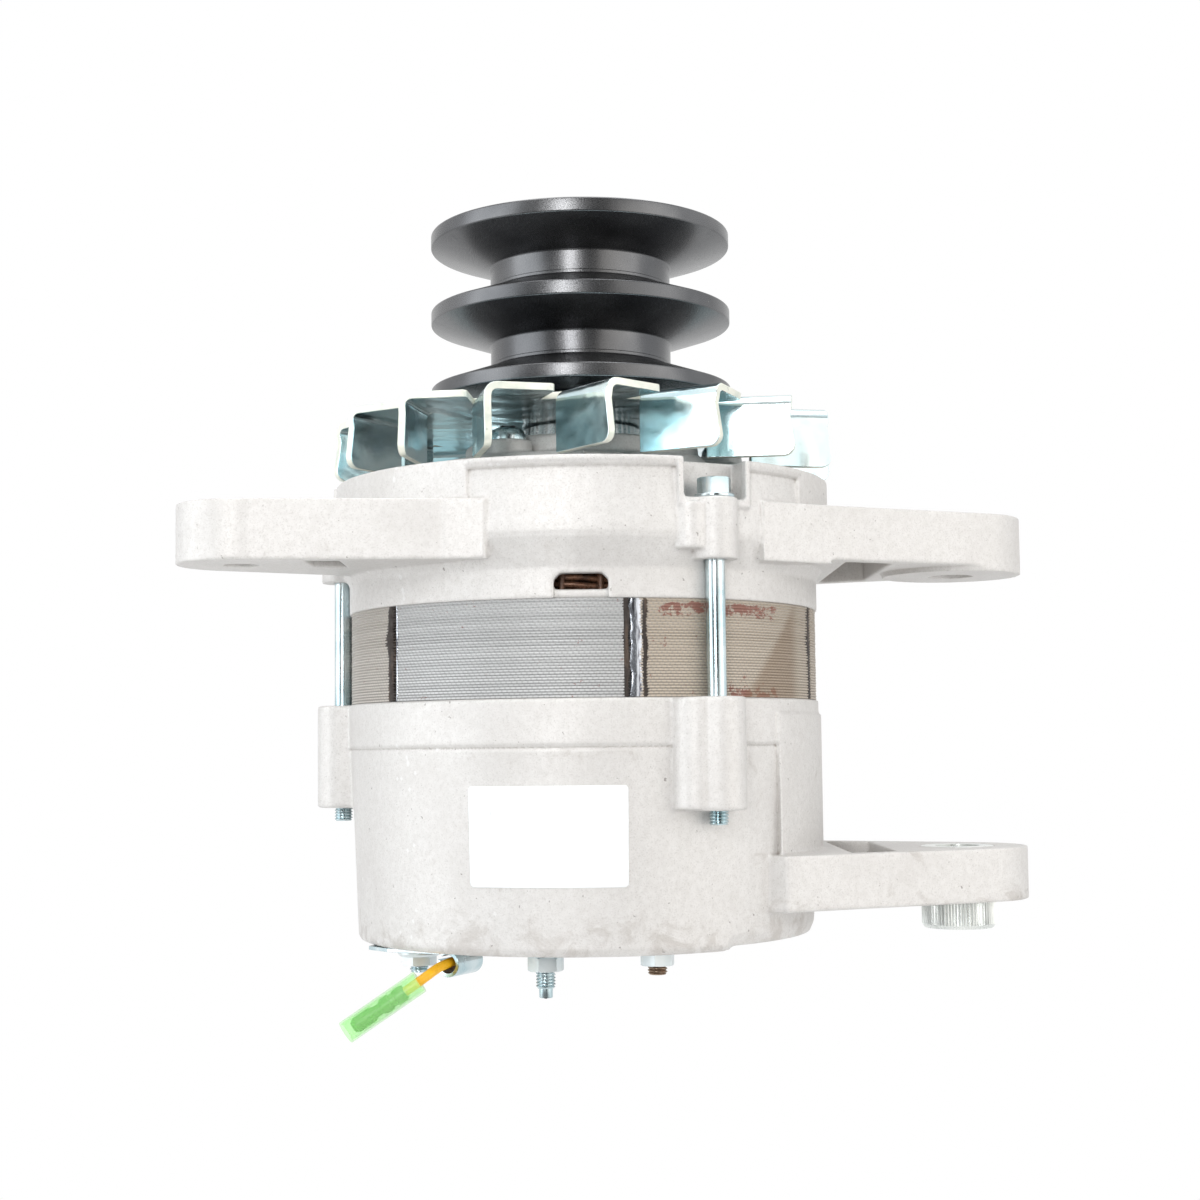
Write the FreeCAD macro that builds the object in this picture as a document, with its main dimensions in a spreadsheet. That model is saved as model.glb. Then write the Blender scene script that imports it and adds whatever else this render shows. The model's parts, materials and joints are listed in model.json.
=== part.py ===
"""Engine alternator with a two-groove belt pulley and an outside cooling fan.

The origin is on the pivot bolt's axis, at the front lug's seat face. +Z runs along the shaft
towards the pulley, and -Y is the side with the label. The shaft stands pivot_offset to the
left of the pivot. Heights are measured from the seat face, azimuths from the +X axis.
"""

import FreeCAD, Part
import math
import os
import Sketcher
from FreeCAD import Placement, Rotation, Vector

# Driving sizes, in millimetres and degrees.
SIZES = {
    # Pivot: the shaft's distance from it, the two lugs and the slip bush
    "pivot_offset": 104.0,
    "pivot_bolt_r": 6.1,
    "lug_r": 19.3,
    "lug_flank_angle": 25.0,
    "lug_root_inset": 11.5,
    "lug_pad": 1.4,
    "lug_thickness": 14.6,
    "lug_rim": 4.5,
    "lug_web": 5.0,
    "lug_hollow_gap": 1.5,
    "lug_gap": 75.4,
    "rear_lug_thickness": 14.5,
    "bush_r": 10.25,
    "bush_fit": 0.05,
    "bush_overhang": 8.1,
    "bush_groove": 0.35,
    "bush_groove_count": 36,
    # Adjuster ear
    "ear_x": -87.0,
    "ear_y": -52.5,
    "ear_r": 16.5,
    "ear_hole_r": 4.4,
    "ear_low": 0.3,
    "ear_thickness": 15.4,
    "ear_front_angle": 5.0,
    "ear_back_angle": 30.0,
    "ear_front_length": 61.05,
    "ear_back_length": 39.6,
    "ear_rim": 4.5,
    "ear_hollow_gap": 1.5,
    "ear_hollow_length": 8.0,
    "ear_hollow_lean": 1.0,
    "ear_hollow_flare": 6.0,
    # Front bracket
    "skirt_r": 65.5,
    "skirt_drop": 9.8,
    "skirt_band": 7.8,
    "shroud_step": 3.5,
    "shroud_low": 6.1,
    "shroud_rise": 25.8,
    "shroud_wall": 3.5,
    "shroud_lip": 2.4,
    "panel_recess": 1.2,
    "panel_low": 9.0,
    "panel_start": -114.5,
    "panel_turn": 45.2,
    "panel_reach": 3.0,
    "side_panel_start": -53.0,
    "side_panel_turn": 19.5,
    "skirt_wall": 5.0,
    "face_wall": 5.0,
    "face_rim_z": 21.0,
    "face_low_z": 22.0,
    "face_low_inset": 7.5,
    "face_high_z": 30.0,
    "face_high_inset": 17.5,
    "face_boss_step": 2.0,
    "cavity_inset": 1.0,
    "cavity_crown": 1.0,
    "cavity_corner_drop": 1.5,
    "bearing_boss_r": 33.0,
    "bearing_boss_rise": 37.1,
    "bearing_boss_hole_r": 18.0,
    "bearing_boss_lip": 3.5,
    "vent_inner_r": 37.5,
    "vent_outer_inset": 11.5,
    "vent_turn": 40.0,
    "vent_half_width": 8.5,
    "vent_taper": 0.62,
    "window_half_width": 6.85,
    "window_height": 6.3,
    "window_corner": 1.6,
    "window_lip": 2.3,
    "window_lip_wall": 3.2,
    # Through bolts, their bosses and notches
    "bolt_offset": 2.3,
    "bolt_count": 3,
    "bolt_r": 2.5,
    "bolt_hole_fit": 0.2,
    "bolt_across_flats": 8.0,
    "bolt_head": 4.2,
    "bolt_tail": 3.7,
    "bolt_washer_r": 5.2,
    "bolt_washer": 0.9,
    "front_boss_r": 6.0,
    "front_boss_low": -0.1,
    "front_boss_top": 15.6,
    "rear_boss_r": 7.2,
    "rear_boss_length": 28.4,
    "notch_half_width": 10.2,
    "notch_depth": 6.8,
    "notch_wall": 3.5,
    "notch_reach": 20.0,
    "notch_floor": 6.0,
    "notch_block_inset": 1.035,
    # Stator
    "stack_length": 24.8,
    "stack_step": 0.5,
    "stack_depth": 18.0,
    "slot_count": 36,
    "slot_depth": 8.5,
    "slot_half_width": 1.8,
    "slot_liner": 0.25,
    "weld_count": 6,
    "weld_groove_r": 1.4,
    "weld_offset": 0.56,
    "weld_turn": -79.4,
    "winding_reach": 10.5,
    "winding_inset": 1.5,
    "winding_bulge": 1.5,
    "winding_start": 0.8,
    "winding_belly": 0.5,
    "winding_outer_round": 1.5,
    "winding_inner_round": 1.0,
    "winding_overlap": 1.5,
    # Rotor
    "rotor_gap": 0.4,
    "pole_length": 48.0,
    "pole_disc": 11.0,
    "claw_count": 6,
    "claw_thickness": 9.0,
    "claw_tip_gap": 4.2,
    "claw_chamfer": 3.0,
    "claw_tip_taper": 3.0,
    "claw_root_round": 2.0,
    "claw_gap_depth": 8.0,
    "claw_gap_root": 9.5,
    "claw_gap_tip": 18.0,
    "core_r": 24.0,
    "core_seat_r": 9.0,
    "bobbin_wall": 1.4,
    "coil_gap": 2.2,
    "coil_drop": 0.4,
    "shaft_r": 8.5,
    "shaft_collar_r": 11.5,
    "shaft_tail_r": 7.5,
    "shaft_chamfer": 0.8,
    "thread_r": 8.0,
    "thread_chamfer": 1.0,
    "ring_sleeve_r": 12.0,
    "ring_r": 15.0,
    "ring_width": 8.0,
    "ring_space": 3.0,
    "ring_margin": 2.0,
    "ring_drop": 9.0,
    # Bearings
    "front_bearing_r": 23.5,
    "front_bearing_width": 14.0,
    "rear_bearing_r": 17.5,
    "rear_bearing_width": 11.0,
    "rear_bearing_sink": 0.5,
    "ball_count": 8,
    "cage_wall": 1.6,
    "cage_height": 3.0,
    "race_share": 0.227,
    "ball_fit": 0.35,
    "shield": 0.8,
    "shield_fit": 0.4,
    "retainer": 2.5,
    "retainer_r": 31.0,
    "retainer_hole_r": 19.5,
    "retainer_screw_circle_r": 39.0,
    "retainer_screw_count": 3,
    "retainer_screw_r": 2.5,
    "retainer_screw_fit": 0.15,
    "retainer_screw_tail": 1.5,
    "retainer_screw_head_r": 5.0,
    "retainer_screw_head": 4.0,
    "retainer_boss_r": 6.5,
    "retainer_boss_rise": 34.6,
    "retainer_boss_root": 2.0,
    "retainer_arm_inset": 4.0,
    # Fan and its collar
    "fan_sheet": 2.0,
    "fan_gap": 2.8,
    "blade_height": 16.5,
    "blade_count": 16,
    "blade_outer_r": 71.0,
    "blade_inner_r": 52.8,
    "blade_turn": -84.4,
    "blade_sweep": 12.4,
    "petal_r": 61.6,
    "petal_turn": 14.4,
    "petal_root_turn": 8.4,
    "fan_disc_r": 52.0,
    "fan_bore_fit": 0.05,
    "collar_r": 16.8,
    "collar_flange": 4.8,
    "collar_neck_r": 12.0,
    # Pulley and what holds it
    "pulley_r": 42.5,
    "pulley_hub_r": 25.7,
    "pulley_boss_r": 24.0,
    "pulley_boss": 5.4,
    "rim_width": 3.8,
    "groove_top": 18.4,
    "groove_bottom": 6.8,
    "rim_chamfer": 0.6,
    "pulley_recess_r": 19.0,
    "pulley_recess": 16.0,
    "nut_across_flats": 24.0,
    "nut_height": 8.0,
    "lock_washer": 3.0,
    "lock_washer_r": 12.2,
    "lock_washer_fit": 0.2,
    "thread_tail": 3.0,
    "key_width": 4.0,
    "key_length": 16.0,
    "key_rise": 2.0,
    "key_sink": 2.5,
    "key_fit": 0.05,
    # Rear bracket
    "rear_depth": 64.3,
    "rear_band": 12.1,
    "rear_step": 0.4,
    "rear_taper": 2.3,
    "rear_round": 4.0,
    "rear_round_share": 0.3,
    "rear_band_slope": 0.2,
    "rear_floor": 4.0,
    "rear_low_wall": 4.7,
    "rear_wall_knee": 10.0,
    "rear_boss_wall": 4.5,
    "rear_seat_lip": 4.0,
    "rear_seat_relief": 1.0,
    "rear_pad_inset": 28.5,
    "rear_pad": 1.2,
    "rear_side_step": 0.7,
    "rear_side_inset": 14.8,
    "rear_side_drop": 4.0,
    "air_inner_r": 26.0,
    "air_outer_inset": 23.5,
    "air_half_width": 5.5,
    "air_taper": 0.7,
    "air_count": 8,
    # Label
    "label_sheet": 0.35,
    "label_start": -115.1,
    "label_turn": 35.1,
    "label_top_z": -56.4,
    "label_height": 25.2,
    # Terminals
    "stud_r": 2.5,
    "stud_shank_r": 2.3,
    "stud_hole_r": 2.6,
    "stud_head_r": 4.1,
    "stud_head": 2.0,
    "stud_runout": 0.2,
    "stud_nut_across_flats": 8.0,
    "stud_nut": 3.7,
    "terminal_washer": 0.7,
    "terminal_washer_r": 5.2,
    "charge_x": -10.0,
    "charge_inset": 15.5,
    "charge_reach": 11.1,
    "insulator_r": 4.2,
    "earth_x": 18.4,
    "earth_inset": 19.5,
    "earth_reach": 6.0,
    "clip_stud_inset": 12.3,
    "clip_stud_turn": -145.65,
    "clip_stud_reach": 6.5,
    "flange_nut_r": 5.6,
    "flange_nut_flange": 1.0,
    # Wire clip, boot, sleeve and terminal of the lead
    "clip_sheet": 1.0,
    "clip_width": 12.9,
    "clip_turn": -26.6,
    "clip_reach": 12.4,
    "clip_tail": 12.0,
    "clip_tail_width": 6.0,
    "clip_loop_r": 3.5,
    "lead_r": 1.25,
    "boot_foot_r": 3.4,
    "boot_tip_r": 2.2,
    "boot_length": 3.6,
    "boot_fit": 0.15,
    "sleeve_r": 3.0,
    "sleeve_wall": 0.45,
    "sleeve_length": 22.5,
    "bullet_r": 2.0,
    "bullet_length": 16.0,
    "bullet_inset": 4.4,
    "bullet_crimp": 6.5,
    "bullet_waist_r": 1.5,
    "bullet_waist": 1.5,
    "bullet_shoulder": 1.0,
    "bullet_tip_r": 1.2,
    # Rectifier, regulator and brush gear
    "plate_sheet": 3.0,
    "plate_inner_r": 28.0,
    "plate_gap": 2.0,
    "plate_start": -168.0,
    "plate_turn": 92.0,
    "plate_stand": 5.0,
    "plate_pitch": 10.0,
    "post_r": 3.0,
    "post_inset": 5.0,
    "post_turn": 4.6,
    "diode_r": 5.5,
    "diode_height": 5.0,
    "diode_circle_r": 36.0,
    "diode_turn": 27.6,
    "holder_half_width": 7.5,
    "holder_inner": 16.5,
    "holder_outer": 46.0,
    "holder_margin": 3.0,
    "holder_foot": 12.0,
    "holder_wall": 3.0,
    "holder_screw_inset": 5.0,
    "brush_half_width": 2.5,
    "brush_half_height": 3.2,
    "brush_length": 16.0,
    "brush_fit": 0.1,
    "brush_rest_gap": 0.3,
    "spring_r": 1.9,
    "spring_wire_r": 0.3,
    "spring_turns": 6,
    "regulator_inset": 14.5,
    "regulator_y": 12.0,
    "regulator_width": 24.0,
    "regulator_depth": 24.0,
    "regulator_height": 12.0,
    "small_screw_r": 2.0,
    "small_screw_fit": 0.1,
    "small_screw_length": 7.5,
    "small_screw_hole": 8.0,
    "small_screw_head_r": 3.6,
    "small_screw_head": 2.4,
}

# The lead's route from the rectifier through an air slot and the clip to the sleeve.
LEAD_ROUTE = [
    Vector(-24.5, -24.5, -89.9),
    Vector(-24.5, -24.5, -97.0),
    Vector(-29.6, -29.2, -102.0),
    Vector(-36.3, -42.6, -101.8),
    Vector(-42.2, -48.0, -105.9),
]
# The sleeve starts at the route's end and points this way.
SLEEVE_AIM = Vector(-18.2, 0.0, -12.2).normalize()

doc = FreeCAD.newDocument("alternator")
sheet = doc.addObject("Spreadsheet::Sheet", "sizes")
for row, (alias, number) in enumerate(SIZES.items(), start=1):
    sheet.set(f"A{row}", alias)
    sheet.set(f"B{row}", str(number))
    sheet.setAlias(f"B{row}", alias)
doc.recompute()


# How far a cut starts outside the metal.
OVERCUT = 1.0
# The pulley's belt grooves.
GROOVES = 2


class Size:
    """A number together with the sheet expression that keeps it tied to the sheet."""

    def __init__(self, value, text):
        self.value = float(value)
        self.text = text

    def __add__(self, other):
        other = size(other)
        return Size(self.value + other.value, f"({self.text} + {other.text})")

    def __radd__(self, other):
        return size(other) + self

    def __sub__(self, other):
        other = size(other)
        return Size(self.value - other.value, f"({self.text} - {other.text})")

    def __rsub__(self, other):
        return size(other) - self

    def __mul__(self, other):
        other = size(other)
        return Size(self.value * other.value, f"({self.text} * {other.text})")

    def __rmul__(self, other):
        return size(other) * self

    def __truediv__(self, other):
        other = size(other)
        return Size(self.value / other.value, f"({self.text} / {other.text})")

    def __neg__(self):
        return Size(-self.value, f"(0 - {self.text})")


def size(number):
    return number if isinstance(number, Size) else Size(number, f"({float(number)})")


def named(alias):
    return Size(SIZES[alias], f"sizes.{alias}")


def cosine(angle):
    angle = size(angle)
    return Size(math.cos(math.radians(angle.value)), f"cos({angle.text})")


def sine(angle):
    angle = size(angle)
    return Size(math.sin(math.radians(angle.value)), f"sin({angle.text})")


def square_root(number):
    return Size(math.sqrt(number.value), f"sqrt({number.text})")


def polar(radius, angle):
    """The point at a radius and an angle from +X, about the shaft."""
    return radius * cosine(angle), radius * sine(angle)


def turned_point(along, across, angle):
    """A point given along and across a direction at an angle from +X."""
    return along * cosine(angle) - across * sine(angle), along * sine(angle) + across * cosine(angle)


def side_step(start, end, distance):
    """A step of a given length to the left of the way from one point to another."""
    ahead = end[0] - start[0]
    aside = end[1] - start[1]
    reach = square_root(ahead * ahead + aside * aside)
    return -aside * distance / reach, ahead * distance / reach


class Named:
    """Gives each size of the sheet as an attribute."""

    def __getattr__(self, alias):
        return named(alias)


S = Named()

# Radii and places that follow from the driving sizes.
CAVITY_R = S.skirt_r - S.skirt_wall
SHROUD_R = S.skirt_r + S.shroud_step
FACE_LOW_R = S.skirt_r - S.face_low_inset
FACE_HIGH_R = S.skirt_r - S.face_high_inset
VENT_OUTER_R = S.skirt_r - S.vent_outer_inset
BOLT_CIRCLE_R = S.skirt_r + S.bolt_offset
NOTCH_BACK_R = BOLT_CIRCLE_R - S.notch_depth
STACK_R = S.skirt_r - S.stack_step
STACK_BORE_R = STACK_R - S.stack_depth
WINDING_INNER_R = STACK_BORE_R + S.winding_inset
WINDING_OUTER_R = STACK_BORE_R + S.slot_depth + S.winding_bulge
REAR_LOW_R = S.skirt_r - S.rear_taper
REAR_INNER_R = REAR_LOW_R - S.rear_low_wall
REAR_SIDE_R = S.skirt_r + S.rear_side_step
REAR_SIDE_X = S.skirt_r - S.rear_side_inset
REAR_PAD_EDGE_X = S.skirt_r - S.rear_pad_inset
AIR_OUTER_R = S.skirt_r - S.air_outer_inset
LUG_ROOT_X = S.skirt_r - S.lug_root_inset
PLATE_OUTER_R = REAR_INNER_R - S.plate_gap
CHARGE_Y = S.charge_inset - S.skirt_r
EARTH_Y = S.earth_inset - S.skirt_r
CLIP_STUD_X, CLIP_STUD_Y = polar(S.skirt_r - S.clip_stud_inset, S.clip_stud_turn)
REGULATOR_X = S.regulator_inset - REAR_INNER_R
SMALL_SCREWS = [
    (0.0, S.holder_outer - S.holder_screw_inset),
    (REGULATOR_X + S.regulator_width / 2, S.regulator_y + S.regulator_depth / 2),
]

# Heights that follow from the driving sizes.
STACK_TOP = -S.skirt_drop
STACK_LOW = STACK_TOP - S.stack_length
STACK_MID = (STACK_TOP + STACK_LOW) / 2
REAR_FACE = STACK_LOW - S.rear_depth
FLOOR_TOP = REAR_FACE + S.rear_floor
LUG_TOP = S.lug_pad + S.lug_thickness
REAR_LUG_TOP = -S.lug_gap
REAR_LUG_LOW = REAR_LUG_TOP - S.rear_lug_thickness
FRONT_BEARING_TOP = S.bearing_boss_rise - S.bearing_boss_lip
FRONT_BEARING_LOW = FRONT_BEARING_TOP - S.front_bearing_width
REAR_BEARING_LOW = FLOOR_TOP - S.rear_bearing_sink
REAR_BEARING_TOP = REAR_BEARING_LOW + S.rear_bearing_width
FAN_TOP = S.shroud_rise + S.fan_gap + S.blade_height
FAN_LOW = FAN_TOP - S.fan_sheet
RIM_LOW = FAN_TOP + S.pulley_boss
PULLEY_TOP = RIM_LOW + S.rim_width * (GROOVES + 1) + S.groove_top * GROOVES
RECESS_FLOOR = PULLEY_TOP - S.pulley_recess
NUT_LOW = RECESS_FLOOR + S.lock_washer
NUT_TOP = NUT_LOW + S.nut_height
SHAFT_TOP = NUT_TOP + S.thread_tail
POLE_TOP = STACK_MID + S.pole_length / 2
POLE_LOW = STACK_MID - S.pole_length / 2
ROTOR_R = STACK_BORE_R - S.rotor_gap
CLAW_INNER_R = ROTOR_R - S.claw_thickness
COIL_R = CLAW_INNER_R - S.coil_gap
RING_TOP = POLE_LOW - S.ring_drop
RING_LOW = RING_TOP - S.ring_width * 2 - S.ring_space
UPPER_BRUSH_Z = RING_TOP - S.ring_width / 2
LOWER_BRUSH_Z = RING_LOW + S.ring_width / 2


def bind(item, path, length):
    """Ties a property to the sheet, and gives it its number at once."""
    item.setExpression(path, size(length).text)


def body_at(name, x=0.0, y=0.0):
    """A new body whose own Z axis stands at x, y from the shaft."""
    body = doc.addObject("PartDesign::Body", name)
    body.Label = name
    body.AllowCompound = True
    bind(body, "Placement.Base.x", size(x) - S.pivot_offset)
    bind(body, "Placement.Base.y", y)
    return body


def origin_item(body, role):
    return next(item for item in body.Origin.OriginFeatures if item.Role == role)


def fix_point(sketch, constraints, links, item, end, point):
    """Holds one end of a line, or a circle's centre, at its place from the sketch's origin."""
    for kind, length in zip(("DistanceX", "DistanceY"), point):
        length = size(length)
        links.append((len(constraints), length.text))
        constraints.append(Sketcher.Constraint(kind, -1, 1, item, end, length.value))


def polygon(*corners):
    return ("polygon", corners)


def circle(radius, x=0.0, y=0.0):
    return ("circle", (size(radius), size(x), size(y)))


def segment(radius, chord_x):
    """The part of a disc beyond a chord on the +X side."""
    return ("segment", (size(radius), size(chord_x)))


def draw(sketch, loop):
    """Draws one closed loop, with every point tied to the sheet."""
    form, data = loop
    first = sketch.GeometryCount
    constraints = []
    links = []
    if form == "circle":
        radius, x, y = data
        sketch.addGeometry([Part.Circle(Vector(x.value, y.value, 0), Vector(0, 0, 1), radius.value)], False)
        fix_point(sketch, constraints, links, first, 3, (x, y))
        links.append((len(constraints), radius.text))
        constraints.append(Sketcher.Constraint("Radius", first, radius.value))
    elif form == "segment":
        radius, chord = data
        reach = math.acos(chord.value / radius.value)
        disc = Part.Circle(Vector(0, 0, 0), Vector(0, 0, 1), radius.value)
        height = radius.value * math.sin(reach)
        line = Part.LineSegment(Vector(chord.value, height, 0), Vector(chord.value, -height, 0))
        sketch.addGeometry([Part.ArcOfCircle(disc, -reach, reach), line], False)
        fix_point(sketch, constraints, links, first, 3, (0.0, 0.0))
        links.append((len(constraints), radius.text))
        constraints.append(Sketcher.Constraint("Radius", first, radius.value))
        constraints.append(Sketcher.Constraint("Coincident", first, 2, first + 1, 1))
        constraints.append(Sketcher.Constraint("Coincident", first + 1, 2, first, 1))
        constraints.append(Sketcher.Constraint("Vertical", first + 1))
        links.append((len(constraints), chord.text))
        constraints.append(Sketcher.Constraint("DistanceX", -1, 1, first + 1, 1, chord.value))
    else:
        corners = [(size(x), size(y)) for x, y in data]
        places = [Vector(x.value, y.value, 0) for x, y in corners]
        count = len(places)
        lines = [Part.LineSegment(places[i], places[(i + 1) % count]) for i in range(count)]
        sketch.addGeometry(lines, False)
        for i in range(count):
            following = first + (i + 1) % count
            constraints.append(Sketcher.Constraint("Coincident", first + i, 2, following, 1))
        for i, corner in enumerate(corners):
            fix_point(sketch, constraints, links, first + i, 1, corner)
    offset = sketch.ConstraintCount
    sketch.addConstraint(constraints)
    for index, text in links:
        sketch.setExpression(f"Constraints[{offset + index}]", text)


def flat_sketch(body, loops, height):
    """A sketch level with the ground, at a height."""
    sketch = body.newObject("Sketcher::SketchObject", f"{body.Name}_outline")
    sketch.AttachmentSupport = [(origin_item(body, "XY_Plane"), "")]
    sketch.MapMode = "FlatFace"
    bind(sketch, "AttachmentOffset.Base.z", height)
    for loop in loops:
        draw(sketch, loop)
    return sketch


def upright_sketch(body, loops, forward=0.0, turn=0.0):
    """A sketch through the body's axis: its x runs outwards and its y runs up."""
    sketch = body.newObject("Sketcher::SketchObject", f"{body.Name}_profile")
    sketch.AttachmentSupport = [(origin_item(body, "XZ_Plane"), "")]
    sketch.MapMode = "FlatFace"
    turn = size(turn)
    sketch.AttachmentOffset = Placement(Vector(0, 0, 0), Rotation(Vector(0, 1, 0), turn.value))
    bind(sketch, "AttachmentOffset.Rotation.Angle", turn)
    bind(sketch, "AttachmentOffset.Base.x", forward * sine(turn))
    bind(sketch, "AttachmentOffset.Base.z", forward * cosine(turn))
    for loop in loops:
        draw(sketch, loop)
    return sketch


def pad(body, loops, low, high):
    feature = body.newObject("PartDesign::Pad", f"{body.Name}_pad")
    feature.Profile = flat_sketch(body, loops, low)
    bind(feature, "Length", size(high) - size(low))
    return feature


def pocket(body, loops, low, high):
    feature = body.newObject("PartDesign::Pocket", f"{body.Name}_pocket")
    feature.Profile = flat_sketch(body, loops, high)
    bind(feature, "Length", size(high) - size(low))
    return feature


def side_pocket(body, loops, outer, inner, turn=0.0):
    """Cuts from a distance outside the axis towards it, along the sketch's normal."""
    feature = body.newObject("PartDesign::Pocket", f"{body.Name}_side_pocket")
    feature.Profile = upright_sketch(body, loops, forward=outer, turn=turn)
    bind(feature, "Length", size(outer) - size(inner))
    return feature


def turn_sketch(kind, body, corners, start, angle):
    feature = body.newObject(kind, f"{body.Name}_turned")
    sketch = upright_sketch(body, [polygon(*corners)], turn=start)
    feature.Profile = sketch
    feature.ReferenceAxis = (sketch, ["V_Axis"])
    feature.Angle = 360.0
    if angle is not None:
        bind(feature, "Angle", angle)
    return feature


def revolve(body, corners, start=0.0, angle=None):
    return turn_sketch("PartDesign::Revolution", body, corners, start, angle)


def groove(body, corners, start=0.0, angle=None):
    return turn_sketch("PartDesign::Groove", body, corners, start, angle)


def around(body, features, count):
    """Repeats features evenly about the body's axis."""
    pattern = body.newObject("PartDesign::PolarPattern", f"{body.Name}_pattern")
    pattern.Originals = features
    pattern.Axis = (origin_item(body, "Z_Axis"), [""])
    pattern.Angle = 360.0
    bind(pattern, "Occurrences", count)
    body.Tip = pattern
    return pattern


def rectangle(left, right, low, high):
    return polygon((left, low), (right, low), (right, high), (left, high))


def hexagon(across_flats, x=0.0, y=0.0):
    reach = size(across_flats) / math.sqrt(3)
    corners = []
    for step in range(6):
        angle = math.radians(60 * step + 30)
        corners.append((size(x) + reach * math.cos(angle), size(y) + reach * math.sin(angle)))
    return polygon(*corners)


def ring(name, inner, outer, low, high, x=0.0, y=0.0):
    """A plain washer-like turned piece."""
    body = body_at(name, x, y)
    revolve(body, [(inner, low), (outer, low), (outer, high), (inner, high)])
    return body


def lug_outline():
    """The plan of a pivot lug between the housing and the pivot boss."""
    touch_x = S.pivot_offset + S.lug_r * sine(S.lug_flank_angle)
    touch_y = S.lug_r * cosine(S.lug_flank_angle)
    slope = sine(S.lug_flank_angle) / cosine(S.lug_flank_angle)
    root_y = touch_y + (touch_x - LUG_ROOT_X) * slope
    return polygon((LUG_ROOT_X, -root_y), (touch_x, -touch_y), (touch_x, touch_y), (LUG_ROOT_X, root_y))


def lug_hollow():
    """The plan of the hollow inside a pivot lug, one rim in from its flanks."""
    slope = sine(S.lug_flank_angle) / cosine(S.lug_flank_angle)
    touch_x = S.pivot_offset + S.lug_r * sine(S.lug_flank_angle)
    touch_y = S.lug_r * cosine(S.lug_flank_angle)
    near_x = SHROUD_R + S.lug_hollow_gap
    far_x = S.pivot_offset - S.lug_r - S.lug_hollow_gap
    near_y = touch_y + (touch_x - near_x) * slope - S.lug_rim
    far_y = touch_y + (touch_x - far_x) * slope - S.lug_rim
    return polygon((near_x, -near_y), (far_x, -far_y), (far_x, far_y), (near_x, near_y))


def ear_outline():
    """The plan of the adjuster ear: two flanks that touch its boss."""
    front_x = S.ear_x - S.ear_r * sine(S.ear_front_angle)
    front_y = S.ear_y - S.ear_r * cosine(S.ear_front_angle)
    back_x = S.ear_x - S.ear_r * sine(S.ear_back_angle)
    back_y = S.ear_y + S.ear_r * cosine(S.ear_back_angle)
    front_ahead, front_aside = polar(S.ear_front_length, S.ear_front_angle)
    back_ahead, back_aside = polar(S.ear_back_length, S.ear_back_angle)
    return polygon(
        (front_x, front_y),
        (front_x + front_ahead, front_y + front_aside),
        (back_x + back_ahead, back_y + back_aside),
        (back_x, back_y),
    )


def ear_hollow():
    """The plan of the hollow under the adjuster ear, between its boss and the housing."""
    left_x = S.ear_x + S.ear_r + S.ear_hollow_gap
    right_x = left_x + S.ear_hollow_length
    front_y = S.ear_y - S.ear_r + S.ear_rim + S.ear_hollow_gap
    back_y = S.ear_y + S.ear_rim
    return polygon(
        (left_x, front_y),
        (right_x, front_y + S.ear_hollow_lean),
        (right_x, back_y + S.ear_hollow_flare),
        (left_x, back_y),
    )


def bolt_block(inner_r):
    """The plan of the metal around a bolt notch, on the -X side."""
    half = S.notch_half_width + S.notch_wall
    reach = SHROUD_R - S.notch_block_inset
    return polygon((-reach, -half), (-inner_r, -half), (-inner_r, half), (-reach, half))


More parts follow.
